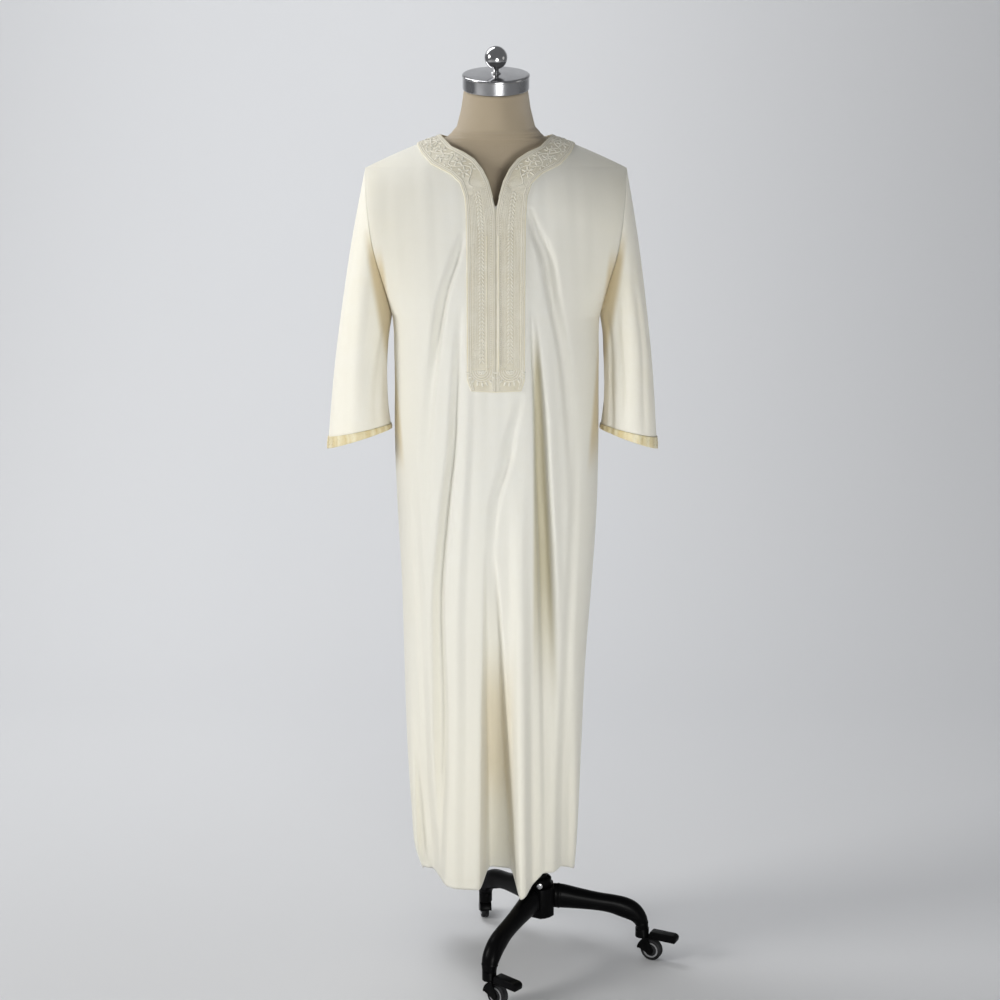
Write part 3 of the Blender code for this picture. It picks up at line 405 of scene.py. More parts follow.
# folds: places down the cloth, distance from the centre line, half width, depth (out is +), flat share
frontFolds = [
    dict(z=[0.82, 0.66, 0.50, 0.40, 0.30, 0.155], x=[-0.010, -0.006, -0.003, 0.000, 0.003, 0.007],
         half=[0.012, 0.019, 0.026, 0.030, 0.034, 0.040],
         depth=[0, -0.022, -0.056, -0.078, -0.094, -0.108], flat=0.45),  # centre valley
    dict(z=[1.25, 1.09, 1.00, 0.90, 0.76, 0.50, 0.155], x=[-0.058, -0.068, -0.073, -0.084, -0.097, -0.096, -0.106],
         half=[0.009, 0.010, 0.011, 0.012, 0.014, 0.018, 0.020],
         depth=[0, -0.012, -0.017, -0.020, -0.021, -0.021, -0.022], skew=-0.35),  # left crease
    dict(z=[1.24, 1.16, 1.07, 0.93, 0.80, 0.67, 0.50, 0.155],
         x=[0.060, 0.064, 0.069, 0.074, 0.080, 0.084, 0.088, 0.094],
         half=[0.008, 0.010, 0.014, 0.017, 0.019, 0.020, 0.021, 0.024],
         depth=[0, -0.014, -0.023, -0.0265, -0.028, -0.024, -0.014, -0.004], flat=0.15,
         skew=0.5),  # right deep valley
    dict(z=[0.95, 0.70, 0.50, 0.30, 0.155], x=[0.040, 0.043, 0.045, 0.047, 0.049],
         half=[0.022, 0.021, 0.021, 0.021, 0.021], depth=[0, 0.011, 0.021, 0.031, 0.034], flat=0.1),
    dict(z=[0.60, 0.45, 0.30, 0.155], x=[-0.140, -0.137, -0.133, -0.130], half=[0.020, 0.023, 0.027, 0.030],
         depth=[0, -0.014, -0.036, -0.050], flat=0.2),  # left side
    dict(z=[0.66, 0.45, 0.30, 0.155], x=[0.125, 0.127, 0.129, 0.131], half=[0.020, 0.022, 0.024, 0.026],
         depth=[0, -0.010, -0.021, -0.028], flat=0.2),  # right side
    dict(z=[1.37, 1.34, 1.27, 1.19, 1.145, 1.00, 0.80], x=[-0.054, -0.060, -0.082, -0.098, -0.104, -0.118, -0.130],
         half=[0.008, 0.011, 0.013, 0.013, 0.013, 0.016, 0.018],
         depth=[0, -0.008, -0.012, -0.012, -0.009, -0.004, 0], skew=-0.4),  # left of the band
    dict(z=[1.41, 1.38, 1.32, 1.255, 1.16, 1.02, 0.86], x=[0.052, 0.060, 0.082, 0.094, 0.112, 0.128, 0.136],
         half=[0.008, 0.012, 0.016, 0.016, 0.016, 0.018, 0.020],
         depth=[0, -0.009, -0.015, -0.015, -0.011, -0.006, 0], skew=0.4),  # right of the band
    dict(z=[1.09, 1.03, 0.975, 0.91, 0.845, 0.78], x=[0.046, 0.030, 0.021, 0.002, -0.005, -0.008],
         half=[0.010, 0.013, 0.014, 0.014, 0.013, 0.012],
         depth=[0, -0.005, -0.006, -0.006, -0.004, -0.001], skew=-0.2),  # below the placket
    dict(z=[1.20, 1.05, 0.90, 0.70, 0.45, 0.20], x=[-0.046, -0.050, -0.060, -0.070, -0.072, -0.076],
         half=[0.012, 0.014, 0.016, 0.018, 0.020, 0.020], depth=[0, 0.003, 0.005, 0.006, 0.006, 0.004]),
    dict(z=[1.20, 1.05, 0.90, 0.75, 0.60], x=[0.086, 0.094, 0.100, 0.106, 0.110],
         half=[0.012, 0.014, 0.016, 0.018, 0.018], depth=[0, 0.004, 0.006, 0.005, 0]),
    dict(z=[1.02, 0.90, 0.75, 0.60, 0.45, 0.30], x=[0.140, 0.138, 0.133, 0.128, 0.124, 0.120],
         half=[0.010, 0.012, 0.013, 0.013, 0.012, 0.010], depth=[0, -0.004, -0.006, -0.006, -0.004, 0]),
    dict(z=[0.98, 0.85, 0.70, 0.52, 0.35], x=[-0.146, -0.142, -0.136, -0.130, -0.126],
         half=[0.010, 0.012, 0.013, 0.013, 0.012], depth=[0, -0.004, -0.005, -0.005, 0]),
]
backFolds = [
    dict(z=[1.20, 1.00, 0.80, 0.50, 0.30, 0.155], x=[-0.050, -0.054, -0.058, -0.065, -0.069, -0.072],
         half=[0.016, 0.019, 0.023, 0.028, 0.031, 0.034], depth=[0, -0.006, -0.015, -0.024, -0.030, -0.036],
         flat=0.2),
    dict(z=[1.10, 0.80, 0.50, 0.30, 0.155], x=[0.000, 0.002, 0.003, 0.004, 0.005],
         half=[0.026, 0.029, 0.031, 0.033, 0.034], depth=[0, 0.004, 0.008, 0.012, 0.014], flat=0.2),
    dict(z=[1.24, 1.00, 0.80, 0.60, 0.30, 0.155], x=[0.048, 0.055, 0.061, 0.067, 0.075, 0.078],
         half=[0.016, 0.020, 0.024, 0.028, 0.033, 0.036], depth=[0, -0.010, -0.020, -0.028, -0.036, -0.040],
         flat=0.2),
    dict(z=[1.43, 1.34, 1.22, 1.08, 0.90], x=[-0.120, -0.112, -0.104, -0.098, -0.094],
         half=[0.010, 0.014, 0.016, 0.018, 0.018], depth=[0, -0.005, -0.007, -0.005, 0]),
    dict(z=[1.44, 1.33, 1.20, 1.05, 0.86], x=[0.126, 0.120, 0.113, 0.108, 0.104],
         half=[0.010, 0.014, 0.016, 0.018, 0.018], depth=[0, -0.006, -0.008, -0.005, 0]),
    dict(z=[0.95, 0.80, 0.60, 0.40, 0.20], x=[-0.118, -0.120, -0.122, -0.122, -0.120],
         half=[0.012, 0.015, 0.017, 0.018, 0.016], depth=[0, -0.007, -0.010, -0.009, -0.004]),
    dict(z=[1.00, 0.82, 0.62, 0.40, 0.20], x=[0.124, 0.126, 0.126, 0.124, 0.122],
         half=[0.012, 0.015, 0.017, 0.018, 0.016], depth=[0, -0.006, -0.010, -0.010, -0.004]),
]
frontHem = dict(x=[-0.150, -0.110, -0.060, 0.000, 0.045, 0.064, 0.085, 0.120, 0.150],
                z=[0.166, 0.160, 0.155, 0.157, 0.150, 0.162, 0.186, 0.182, 0.166])
neckline = dict(x=[0.0000, 0.0040, 0.0080, 0.0130, 0.0230, 0.0370, 0.0540, 0.0760, 0.0970],
                z=[1.4040, 1.4160, 1.4300, 1.4500, 1.4700, 1.4870, 1.4980, 1.5080, 1.5291])
# soft waves all over the cloth: spacing, how far they wander, height
waves = [(0.046, 0.30, 0.00045), (0.027, 0.55, 0.00028), (0.083, 0.20, 0.00070)]


def curveAt(xs, ys, z):
    # a smooth curve through a table's rows
    xs, ys, z = np.array(xs, float), np.array(ys, float), np.asarray(z, float)
    slopes = np.gradient(ys, xs)
    k = np.clip(np.searchsorted(xs, z) - 1, 0, len(xs) - 2)
    width = xs[k + 1] - xs[k]
    t = np.clip((z - xs[k]) / width, 0.0, 1.0)
    return ((2 * t**3 - 3 * t**2 + 1) * ys[k] + (t**3 - 2 * t**2 + t) * width * slopes[k]
            + (3 * t**2 - 2 * t**3) * ys[k + 1] + (t**3 - t**2) * width * slopes[k + 1])


def bodyAt(key, z):
    return curveAt(bodyTable["z"], bodyTable[key], z)


def foldDepth(folds, x, z):
    total = np.zeros(np.broadcast(x, z).shape)
    for fold in folds:
        heights = fold["z"][::-1]
        middle, half, depth = (curveAt(heights, fold[key][::-1], z) for key in ("x", "half", "depth"))
        depth = np.where(z > heights[-1], 0.0, depth)
        skew = fold.get("skew", 0.0)  # above 0: a steep wall on the left and a soft one on the right
        away = (x - middle) / half
        away = np.abs(away) / np.where(away < 0, 1.0 - skew, 1.0 + skew)
        flat = fold.get("flat", 0.0)
        t = np.clip((away - flat) / (1.0 - flat), 0.0, 1.0)
        total += depth * (0.5 + 0.5 * np.cos(math.pi * t))
    return total


def softWaves(x, z):
    total = 0.0
    for k, (spacing, wander, height) in enumerate(waves):
        phase = x / spacing + wander * np.sin(z * (2.6 + k) + k) + 0.8 * k
        total = total + height * np.sin(2 * math.pi * phase) * (0.6 + 0.4 * np.sin(z * 5.0 + 2 * k))
    return total


def shoulderLine(x):
    t = np.clip((np.abs(x) - robe["slopeX"]) / (robe["tipX"] - robe["slopeX"]), 0.0, None)
    return robe["shoulderZ"] + (robe["tipZ"] - robe["shoulderZ"]) * t**1.3


def armhole(z):
    t = np.clip((robe["tipZ"] - z) / (robe["tipZ"] - robe["armZ"]), 0.0, 1.0)
    return robe["armBulge"] * np.clip(np.sin(math.pi * t), 0.0, 1.0) ** 0.7


def panelPoint(side, x, z, detail=True):
    # a point of the robe's outer face: side is -1 in front and 1 behind
    x, z = np.broadcast_arrays(np.asarray(x, float), np.asarray(z, float))
    half = np.where(x < 0, bodyAt("left", z), bodyAt("right", z))
    depth, n, edge = bodyAt("front" if side < 0 else "back", z), bodyAt("square", z), armhole(z)
    u = np.clip(np.abs(x) / half, 0.0, 1.0)
    fall = np.clip((shoulderLine(x) - z) / robe["rollFront" if side < 0 else "rollBack"], 0.0, 1.0)
    roll = np.sqrt(1.0 - (1.0 - fall) ** 2)
    reach = np.clip(1.0 - u**n, 0.0, 1.0) ** (1.0 / n)
    edge = edge * u**3
    out = robe["seam"] / 2 + edge + (depth - edge) * reach * roll
    out = out + foldDepth(frontFolds if side < 0 else backFolds, x, z) * np.clip(1.6 * reach, 0.0, 1.0)
    if detail:
        out = out + softWaves(x, z) * np.clip(2.0 * reach - 0.4, 0.0, 1.0) * roll
    return np.stack([x, bodyAt("seam", z) + side * out, z], axis=-1)


def evenColumns(side, z, count):
    left, right = float(bodyAt("left", z)), float(bodyAt("right", z))
    angles = np.cos(np.linspace(0.0, math.pi, 401))
    xs = -angles * np.where(angles > 0, left, right)
    points = panelPoint(side, xs, z, False)
    run = np.concatenate([[0.0], np.cumsum(np.linalg.norm(np.diff(points, axis=0), axis=1))])
    return np.interp(np.linspace(0.0, run[-1], count), run, xs)


def neckTop(side, x):
    inside = np.abs(x) < robe["neckX"]
    if side < 0:
        middle = np.interp(np.abs(x), neckline["x"], neckline["z"])
    else:
        rise = float(shoulderLine(robe["neckX"])) - robe["backNeckZ"]
        middle = robe["backNeckZ"] + rise * (np.abs(x) / robe["neckX"]) ** 2.2
    return np.where(inside, middle, shoulderLine(x))


def panelGrid(side, columns, upper, lower):
    # rows of the outer face, from the neckline and shoulder seam down to the hem
    arm, armHalf = evenColumns(side, robe["armZ"], columns), float(bodyAt("left", robe["armZ"]))
    top = neckTop(side, arm * robe["tipX"] / armHalf)
    rows = []
    for k in range(upper):
        z = top + (robe["armZ"] - top) * (k / upper) ** 2.0
        rows.append(panelPoint(side, arm * bodyAt("left", np.minimum(z, robe["tipZ"])) / armHalf, z))
    for k in range(lower + 1):
        level = robe["armZ"] + (robe["hemZ"] - robe["armZ"]) * (k / lower)
        x = evenColumns(side, level, columns)
        lift = np.interp(x, frontHem["x"], frontHem["z"]) - robe["hemZ"] if side < 0 else 0.0 * x
        z = level + lift * (k / lower) ** 4
        spread = np.where(x < 0, bodyAt("left", z) / bodyAt("left", level),
                          bodyAt("right", z) / bodyAt("right", level))
        rows.append(panelPoint(side, x * spread, z))
    return np.array(rows)


def cutMap(points, closed):
    # width and height in metres along the cloth, the height from the lower edge up
    grid = np.concatenate([points, points[:, :1]], axis=1) if closed else points
    across = np.linalg.norm(np.diff(grid, axis=1), axis=2)
    width = np.concatenate([np.zeros((len(grid), 1)), np.cumsum(across, axis=1)], axis=1)
    width = width - width[:, -1:] / 2
    down = np.linalg.norm(np.diff(grid, axis=0), axis=2)
    height = np.concatenate([np.cumsum(down[::-1], axis=0)[::-1], np.zeros((1, grid.shape[1]))], axis=0)
    return grid, np.stack([width, height], axis=-1)


def meshFrom(bm, name, sharp=None):
    mesh = bpy.data.meshes.new(name)
    bm.to_mesh(mesh)
    bm.free()
    mesh.shade_smooth()
    if sharp:
        mesh.set_sharp_from_angle(angle=math.radians(sharp))
    return mesh


def spotsOf(mesh):
    spots = np.empty(len(mesh.vertices) * 3)
    mesh.vertices.foreach_get("co", spots)
    return spots.reshape(-1, 3)


def setCut(mesh, uv):
    # the cut map: metres along the cloth at each vertex, given to its corners
    layer = mesh.uv_layers.new(name="cut")
    corners = np.empty(len(mesh.loops), dtype=np.int32)
    mesh.loops.foreach_get("vertex_index", corners)
    layer.data.foreach_set("uv", uv[corners].ravel())


def gridPiece(name, points, material, body, closed=False, wall=0.0, outward=None, caps=False):
    # a grid moved on to rows of points, with its cut map; a closed one is sewn along its seam
    grid, cut = cutMap(points, closed)
    rows, columns = grid.shape[:2]
    bm = bmesh.new()
    bmesh.ops.create_grid(bm, x_segments=columns - 1, y_segments=rows - 1, size=1.0)
    mesh = meshFrom(bm, name)
    spots = spotsOf(mesh)
    j = np.rint((spots[:, 0] + 1.0) / 2.0 * (columns - 1)).astype(int)
    i = np.rint((1.0 - spots[:, 1]) / 2.0 * (rows - 1)).astype(int)
    mesh.vertices.foreach_set("co", (grid[i, j] + robePlace).ravel())
    setCut(mesh, cut[i, j])
    bm = bmesh.new()
    bm.from_mesh(mesh)
    if closed:
        bmesh.ops.remove_doubles(bm, verts=bm.verts[:], dist=1e-6)
    if caps:
        bmesh.ops.holes_fill(bm, edges=[e for e in bm.edges if e.is_boundary], sides=0)
    bm.to_mesh(mesh)
    bm.free()
    mesh.update()
    middle = grid[rows // 2, 0 if closed else columns // 2]
    direction = Vector(middle - grid[rows // 2].mean(axis=0)) if outward is None else Vector(outward)
    nearest = min(mesh.polygons, key=lambda f: (f.center - Vector(middle + robePlace)).length)
    if nearest.normal.dot(direction) < 0:
        mesh.flip_normals()
    mesh.shade_smooth()
    return addPiece(name, mesh, material, body, wall)


def addPiece(name, mesh, material, body, wall=0.0):
    obj = bpy.data.objects.new(name, mesh)
    bpy.context.scene.collection.objects.link(obj)
    mesh.materials.append(material)
    if wall:
        solid = obj.modifiers.new("wall", "SOLIDIFY")
        solid.thickness = wall
        solid.offset = -1.0
        solid.use_even_offset = False
    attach(obj, body)
    return obj


def label(obj, slot, node=None):
    # hides the CAD solid that a piece stands for
    if node:
        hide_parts(node)


def areaOf(points, closed=False):
    # area of a grid of points and its mean width and height
    grid, cut = cutMap(points, closed)
    a, b = grid[1:, :-1] - grid[:-1, :-1], grid[:-1, 1:] - grid[:-1, :-1]
    total = float(np.linalg.norm(np.cross(a, b), axis=2).sum())
    return total, float(np.ptp(cut[..., 0], axis=1).max()), float(cut[..., 1].max())


def makeBody():
    front = panelGrid(-1, robe["frontColumns"], robe["frontUpper"], robe["frontLower"])
    back = panelGrid(1, robe["backColumns"], robe["backUpper"], robe["backLower"])
    made = []
    for name, node, rows, way in (("robeFront", "robe_front", front, -1), ("robeBack", "robe_back", back, 1)):
        obj = gridPiece(name, rows, finish["body"], "form", wall=robe["wall"], outward=(0, way, 0))
        label(obj, "cloth", node)
        area, width, length = areaOf(rows)
        print(name, "area", round(area, 3), "widest", round(width, 3), "longest", round(length, 3))
        made.append((obj, area, width, length))
    return made


# sleeves: the cuff's middle, half width, half depth and slant; creases run from the armhole down
sleeve = dict(x=(0.2455, 0.2385), half=(0.0572, 0.0510), depth=(0.0640, 0.0690), z=1.0010, slant=0.018,
              backDrop=0.006, seam=0.0004, swell=(0.009, 0.006), rings=120, around=112, wall=0.0011)
cuff = dict(height=0.021, gap=0.0006, wall=0.0008, rows=10, around=180, puckers=26, pucker=0.0005, stand=0.0004)
# creases: degrees round from the outer edge (front is 0 to 180) at the top and the cuff, width, depth, run
sleeveCreases = {
    -1: [(150, 128, 15, -0.0034, 0.04, 0.95), (118, 100, 12, -0.0010, 0.10, 0.80), (62, 74, 16, -0.0014, 0.25, 1.0),
         (172, 160, 9, 0.0024, 0.15, 0.9), (30, 22, 12, -0.0010, 0.05, 0.6), (228, 236, 15, -0.0040, 0.10, 0.9),
         (285, 276, 13, -0.0026, 0.20, 1.0), (200, 206, 9, 0.0022, 0.10, 0.7)],
    1: [(148, 136, 12, -0.0044, 0.04, 1.0), (112, 118, 11, -0.0026, 0.12, 0.85), (70, 58, 15, -0.0032, 0.20, 1.0),
        (168, 164, 9, 0.0026, 0.15, 0.9), (24, 34, 12, -0.0018, 0.06, 0.7), (232, 224, 15, -0.0042, 0.10, 0.9),
        (288, 296, 14, -0.0028, 0.20, 1.0), (198, 192, 9, 0.0022, 0.10, 0.7)],
}


def sleeveGrid(side, rings, around):
    t = np.linspace(0.0, 1.0, rings + 1)[:, None]
    a = (np.arange(around) * 2 * math.pi / around)[None, :]
    lower = 0.5 - 0.5 * np.cos(a)
    z = robe["tipZ"] + (robe["armZ"] - robe["tipZ"]) * lower
    startY = -armhole(z) * np.where(np.sin(a) > 0, 1.0, -1.0)
    start = np.stack([side * (bodyAt("left", z) + sleeve["seam"]), startY, z], axis=-1)
    edgeZ = sleeve["z"] - sleeve["slant"] * np.cos(a) - sleeve["backDrop"] * (0.5 - 0.5 * np.sin(a))
    x, half, depth = (sleeve[key][side > 0] for key in ("x", "half", "depth"))
    end = np.stack([side * (x + half * np.cos(a)), -depth * np.sin(a), edgeZ], axis=-1)
    points = start + (end - start) * t[..., None]
    swell = np.sin(math.pi * t)
    points[..., 0] += side * swell * sleeve["swell"][0]
    points[..., 1] -= swell * sleeve["swell"][1] * np.sin(a)
    depth = np.zeros_like(t * a)
    degrees = np.degrees(a)
    for top, foot, width, height, first, last in sleeveCreases[side]:
        middle = top + (foot - top) * t + 3.0 * np.sin(t * 7.0 + top)
        apart = np.abs((degrees - middle + 180.0) % 360.0 - 180.0) / width
        run = np.clip((t - first) / 0.22, 0.0, 1.0) * np.clip((last - t) / 0.22 + 0.35, 0.0, 1.0)
        depth += height * (0.5 + 0.5 * np.cos(math.pi * np.clip(apart, 0.0, 1.0))) * run
    depth += 0.0006 * np.sin(3 * a + 9.0 * t) * np.sin(math.pi * np.clip(t * 1.1, 0, 1))
    points[..., 0] += side * np.cos(a) * depth
    points[..., 1] -= np.sin(a) * depth
    return points


def makeSleeve(side, word):
    rows = sleeveGrid(side, sleeve["rings"], sleeve["around"])
    obj = gridPiece("sleeve" + word.title(), rows, finish["sleeve"], "form", closed=True, wall=sleeve["wall"])
    label(obj, "cloth", "sleeve_" + word)
    # ribbon: the last stretch of the sleeve, laid over it with small puckers
    fine = sleeveGrid(side, sleeve["rings"], cuff["around"])
    first = 1.0 - cuff["height"] / (robe["tipZ"] - sleeve["z"])
    ribbon = []
    for t in np.linspace(first, 1.0, cuff["rows"] + 1):
        place = t * sleeve["rings"]
        low = int(min(place, sleeve["rings"] - 1))
        ribbon.append(fine[low] + (fine[low + 1] - fine[low]) * (place - low))
    ribbon = np.array(ribbon)
    away = ribbon - ribbon.mean(axis=1, keepdims=True)
    away[..., 2] = 0.0
    away /= np.linalg.norm(away, axis=2, keepdims=True)
    a = np.arange(cuff["around"]) * 2 * math.pi / cuff["around"]
    edge = np.sin(math.pi * np.linspace(0.0, 1.0, cuff["rows"] + 1))[:, None]
    pucker = cuff["pucker"] * (np.sin(cuff["puckers"] * a + 1.3 * np.sin(3 * a)) + 0.4 * np.sin(9 * a + 1))[None, :]
    stand = (pucker + cuff["stand"]) * (0.35 + 0.65 * edge)
    ribbon = ribbon + away * (cuff["gap"] + cuff["wall"] + stand)[..., None]
    band = gridPiece("cuff" + word.title(), ribbon, finish["satin"], "form", closed=True, wall=cuff["wall"])
    label(band, "satin", "cuff_" + word)


# embroidered band round the neck and down the front
bandOuter = dict(
    x=[0.1360, 0.1270, 0.1100, 0.0760, 0.0600, 0.0520, 0.0500, 0.0490, 0.0485, 0.0485, 0.0420],
    z=[1.5150, 1.4990, 1.4800, 1.4630, 1.4480, 1.4250, 1.4000, 1.3300, 1.2500, 1.1150, 1.0960])
bandInner = dict(
    x=[0.0970, 0.0760, 0.0540, 0.0370, 0.0230, 0.0130, 0.0060, 0.0002, 0.0002, 0.0002, 0.0002],
    z=[1.5310, 1.5080, 1.4980, 1.4870, 1.4700, 1.4500, 1.4250, 1.4020, 1.2500, 1.1150, 1.0940])
band = dict(lift=0.0024, wall=0.0016, rows=300, across=56, backRows=120, backAcross=36, piping=0.0015,
            pinCords=[0.20, 0.25, 0.30, 0.35, 0.65, 0.70, 0.75, 0.80], edgeCords=[0.05, 0.115, 0.885, 0.95],
            span=0.048, scroll=0.046, swing=0.20, stem=0.00092, pin=0.00062, leaf=(0.0042, 0.0018, 0.0013),
            smallLeaf=(0.0034, 0.0014, 0.0011), herringbone=(0.0037, 0.0013, 0.0010), petals=0.0075,
            bead=(0.0012, 0.0012, 0.0011), picot=0.0036)


placketCord = dict(x=0.0045, out=0.0036, radius=0.0012, z=(1.360, 1.130), second=-0.0155, thin=0.0009,
                   beads=-0.0060)


def bandRows(side, count, across):
    # rows down one half of the band, each from its inner to its outer edge
    last = len(bandInner["x"]) - 1
    s = last * np.linspace(0.0, 1.0, count)[:, None] ** 1.6
    t = np.linspace(0.0, 1.0, across + 1)[None, :]
    steps = np.arange(last + 1)
    inner, outer = ([np.interp(s, steps, table[key]) for key in "xz"] for table in (bandInner, bandOuter))
    x, z = ((1 - t) * a + t * b for a, b in zip(inner, outer))
    startX, startZ = ((1 - t) * bandInner[key][0] + t * bandOuter[key][0] for key in "xz")
    z = z + (shoulderLine(startX) - startZ) * np.clip(1.0 - s, 0.0, 1.0)
    return panelPoint(-1, side * x, z)


def backBandRows(count, across):
    a = np.linspace(0.0, math.pi, count)[:, None]
    t = np.linspace(0.0, 1.0, across + 1)[None, :]
    x = -np.cos(a) * (robe["neckX"] + (bandOuter["x"][0] - robe["neckX"]) * t)
    drop = (shoulderLine(x) - robe["backNeckZ"] + robe["backBand"] * t) * (1.0 - np.abs(np.cos(a)) ** 2.2)
    return panelPoint(1, x, shoulderLine(x) - drop)


def gridNormals(points, way):
    down = np.gradient(points, axis=0)
    across = np.gradient(points, axis=1)
    normal = np.cross(down, across)
    normal /= np.maximum(np.linalg.norm(normal, axis=2, keepdims=True), 1e-12)
    if (normal[len(normal) // 2, normal.shape[1] // 2] * np.array(way)).sum() < 0:
        normal = -normal
    return normal


class bandFace:
    # places on a band by metres along it and share of its width across
    def __init__(self, points, way):
        self.points, self.normals = points, gridNormals(points, way)
        middle = points[:, points.shape[1] // 2]
        self.run = np.concatenate([[0.0], np.cumsum(np.linalg.norm(np.diff(middle, axis=0), axis=1))])
        self.length = float(self.run[-1])

    def line(self, first, last, count, share, lift):
        return [self.spot(along, share, lift)[0] for along in np.linspace(first, last, count)]

    def spot(self, along, share, lift):
        row = np.interp(np.clip(along, 0.0, self.length), self.run, np.arange(len(self.run)))
        column = np.clip(share, 0.0, 1.0) * (self.points.shape[1] - 1)
        i, j = int(min(row, len(self.run) - 2)), int(min(column, self.points.shape[1] - 2))
        u, v = row - i, column - j
        blend = [(i, j, (1 - u) * (1 - v)), (i + 1, j, u * (1 - v)), (i, j + 1, (1 - u) * v), (i + 1, j + 1, u * v)]
        point = sum(self.points[r, c] * w for r, c, w in blend)
        normal = sum(self.normals[r, c] * w for r, c, w in blend)
        normal = normal / np.linalg.norm(normal)
        return Vector(point + normal * lift + robePlace), Vector(normal)


def planMap(mesh):
    # cut map of small raised work: metres across and up the front
    spots = spotsOf(mesh)
    setCut(mesh, np.stack([spots[:, 0] + 0.4 * spots[:, 1], spots[:, 2]], axis=-1))


def cordMesh(name, lines, radius, sides=1):
    # round threads laid along lines of points
    data = bpy.data.curves.new(name, "CURVE")
    data.dimensions = "3D"
    data.bevel_depth, data.bevel_resolution, data.use_fill_caps = radius, sides, True
    for line in lines:
        spline = data.splines.new("POLY")
        spline.points.add(len(line) - 1)
        spline.points.foreach_set("co", np.array([(*p, 1.0) for p in line]).ravel())
    guide = bpy.data.objects.new(name, data)
    mesh = bpy.data.meshes.new_from_object(guide)
    bpy.data.objects.remove(guide)
    mesh.name = name
    mesh.shade_smooth()
    return mesh


def leafMesh(name, leaves):
    # padded stitches: each a small rounded lozenge at a place, along a direction, on the cloth's face
    bm = bmesh.new()
    for place, normal, along, size in leaves:
        across = normal.cross(along).normalized()
        turn = Matrix((along.normalized(), across, normal)).transposed().to_4x4()
        shape = Matrix.Translation(place) @ turn @ Matrix.Diagonal((*size, 1.0))
        bmesh.ops.create_uvsphere(bm, u_segments=8, v_segments=5, radius=1.0,
                                  matrix=shape @ Matrix.Rotation(math.pi / 2, 4, "Y"))
    return meshFrom(bm, name)


def joinMeshes(name, meshes, material):
    bm = bmesh.new()
    for mesh in meshes:
        bm.from_mesh(mesh)
    joined = meshFrom(bm, name)
    planMap(joined)
    return addPiece(name, joined, material, "form")


def directed(face, along, share, lift, turn):
    # place, normal and a direction on the band, turned from its run by an angle
    here, normal = face.spot(along, share, lift)
    ahead, _ = face.spot(along + 0.001, share, lift)
    if along + 0.001 > face.length:
        behind, _ = face.spot(along - 0.001, share, lift)
        ahead = here + (here - behind)
    run = (ahead - here).normalized()
    return here, normal, Matrix.Rotation(turn, 3, normal) @ run


def scrollWork(face, first, last, side):
    # a wandering stem with leaves and curls in its bends
    swing, spacing, lift, middle = band["swing"], band["scroll"], band["lift"], 0.5
    lines, leaves = [], []
    count = max(int((last - first) / 0.0016), 8)
    lines.append([face.spot(a, middle + swing * math.sin(2 * math.pi * (a - first) / spacing), lift + 0.0002)[0]
                  for a in np.linspace(first, last, count)])
    lobes = int((last - first) / (spacing / 2))
    for k in range(lobes):
        centre = first + spacing / 4 + k * spacing / 2
        way = 1.0 if k % 2 == 0 else -1.0
        share = middle - way * swing * 0.55
        curl = []
        for n in range(15):
            a = 2 * math.pi * 1.2 * n / 14
            r = 0.0052 * (1.0 - 0.72 * n / 14)
            across = way * r * math.sin(a) / band["span"]
            curl.append(face.spot(centre + r * math.cos(a), share + across, lift + 0.0002)[0])
        lines.append(curl)
        for n in range(6):      # petals round the curl
            a = 2 * math.pi * n / 6 + 0.3
            along, across = centre + band["petals"] * math.cos(a), way * band["petals"] * math.sin(a) / band["span"]
            leaves.append((*directed(face, along, share + across, lift + 0.0001, a * way * side), band["leaf"]))
        for n, (off, turn) in enumerate(((-0.006, 0.7), (0.0, -0.9), (0.006, 0.7))):
            leaves.append((*directed(face, centre + off, middle + way * (swing + 0.09), lift, turn * way * side),
                           band["smallLeaf"]))
    return lines, leaves


def halfBandWork(face, side):
    lines, fine, leaves, picots = [], [], [], []
    lift = band["lift"]
    neck, foot = 0.170, face.length - 0.042
    for share in band["edgeCords"]:
        end = face.length - 0.003
        lines.append(face.line(0.001, end, 190, share, lift + 0.0002))
    stems, petals = scrollWork(face, 0.006, neck - 0.006, side)
    lines += stems
    leaves += petals
    for share in band["pinCords"]:
        fine.append(face.line(neck + 0.004, foot, 110, share, lift + 0.0001))
    for k in range(int((foot - neck - 0.006) / 0.0062)):    # herringbone of small leaves down the middle
        along = neck + 0.008 + k * 0.0062
        for way in (1, -1):
            leaves.append((*directed(face, along, 0.5 + way * 0.052, lift, way * side * 0.62),
                           band["herringbone"]))
    for k in range(int((foot - 0.166) / band["picot"])):    # picots beside the opening
        here, normal = face.spot(0.166 + k * band["picot"], 0.165, lift + 0.0002)
        picots.append((here, normal, Vector((1, 0, 0)) - normal * normal.x, band["bead"]))
    # scalloped rows and a fan of petals at the foot
    for reach in (0.007, 0.011, 0.015, 0.019):
        arc = []
        for a in np.linspace(-math.pi / 2, math.pi / 2, 19):
            along = foot + 0.004 + reach * math.cos(a)
            across = reach * math.sin(a) / band["span"]
            arc.append(face.spot(min(along, face.length - 0.003), 0.5 + across, lift + 0.0002)[0])
        lines.append(arc)
    for count, first, step, ahead, aside, size in ((9, -80, 20, 0.0245, 0.0235, (0.0042, 0.0018, 0.0012)),
                                                   (5, -60, 30, 0.0040, 0.0045, band["smallLeaf"])):
        for n in range(count):
            a = math.radians(first + step * n)
            along, across = foot + 0.004 + ahead * math.cos(a), aside * math.sin(a) / band["span"]
            leaves.append((*directed(face, along, 0.5 + across, lift, a * side), size))
    return lines, fine, leaves, picots


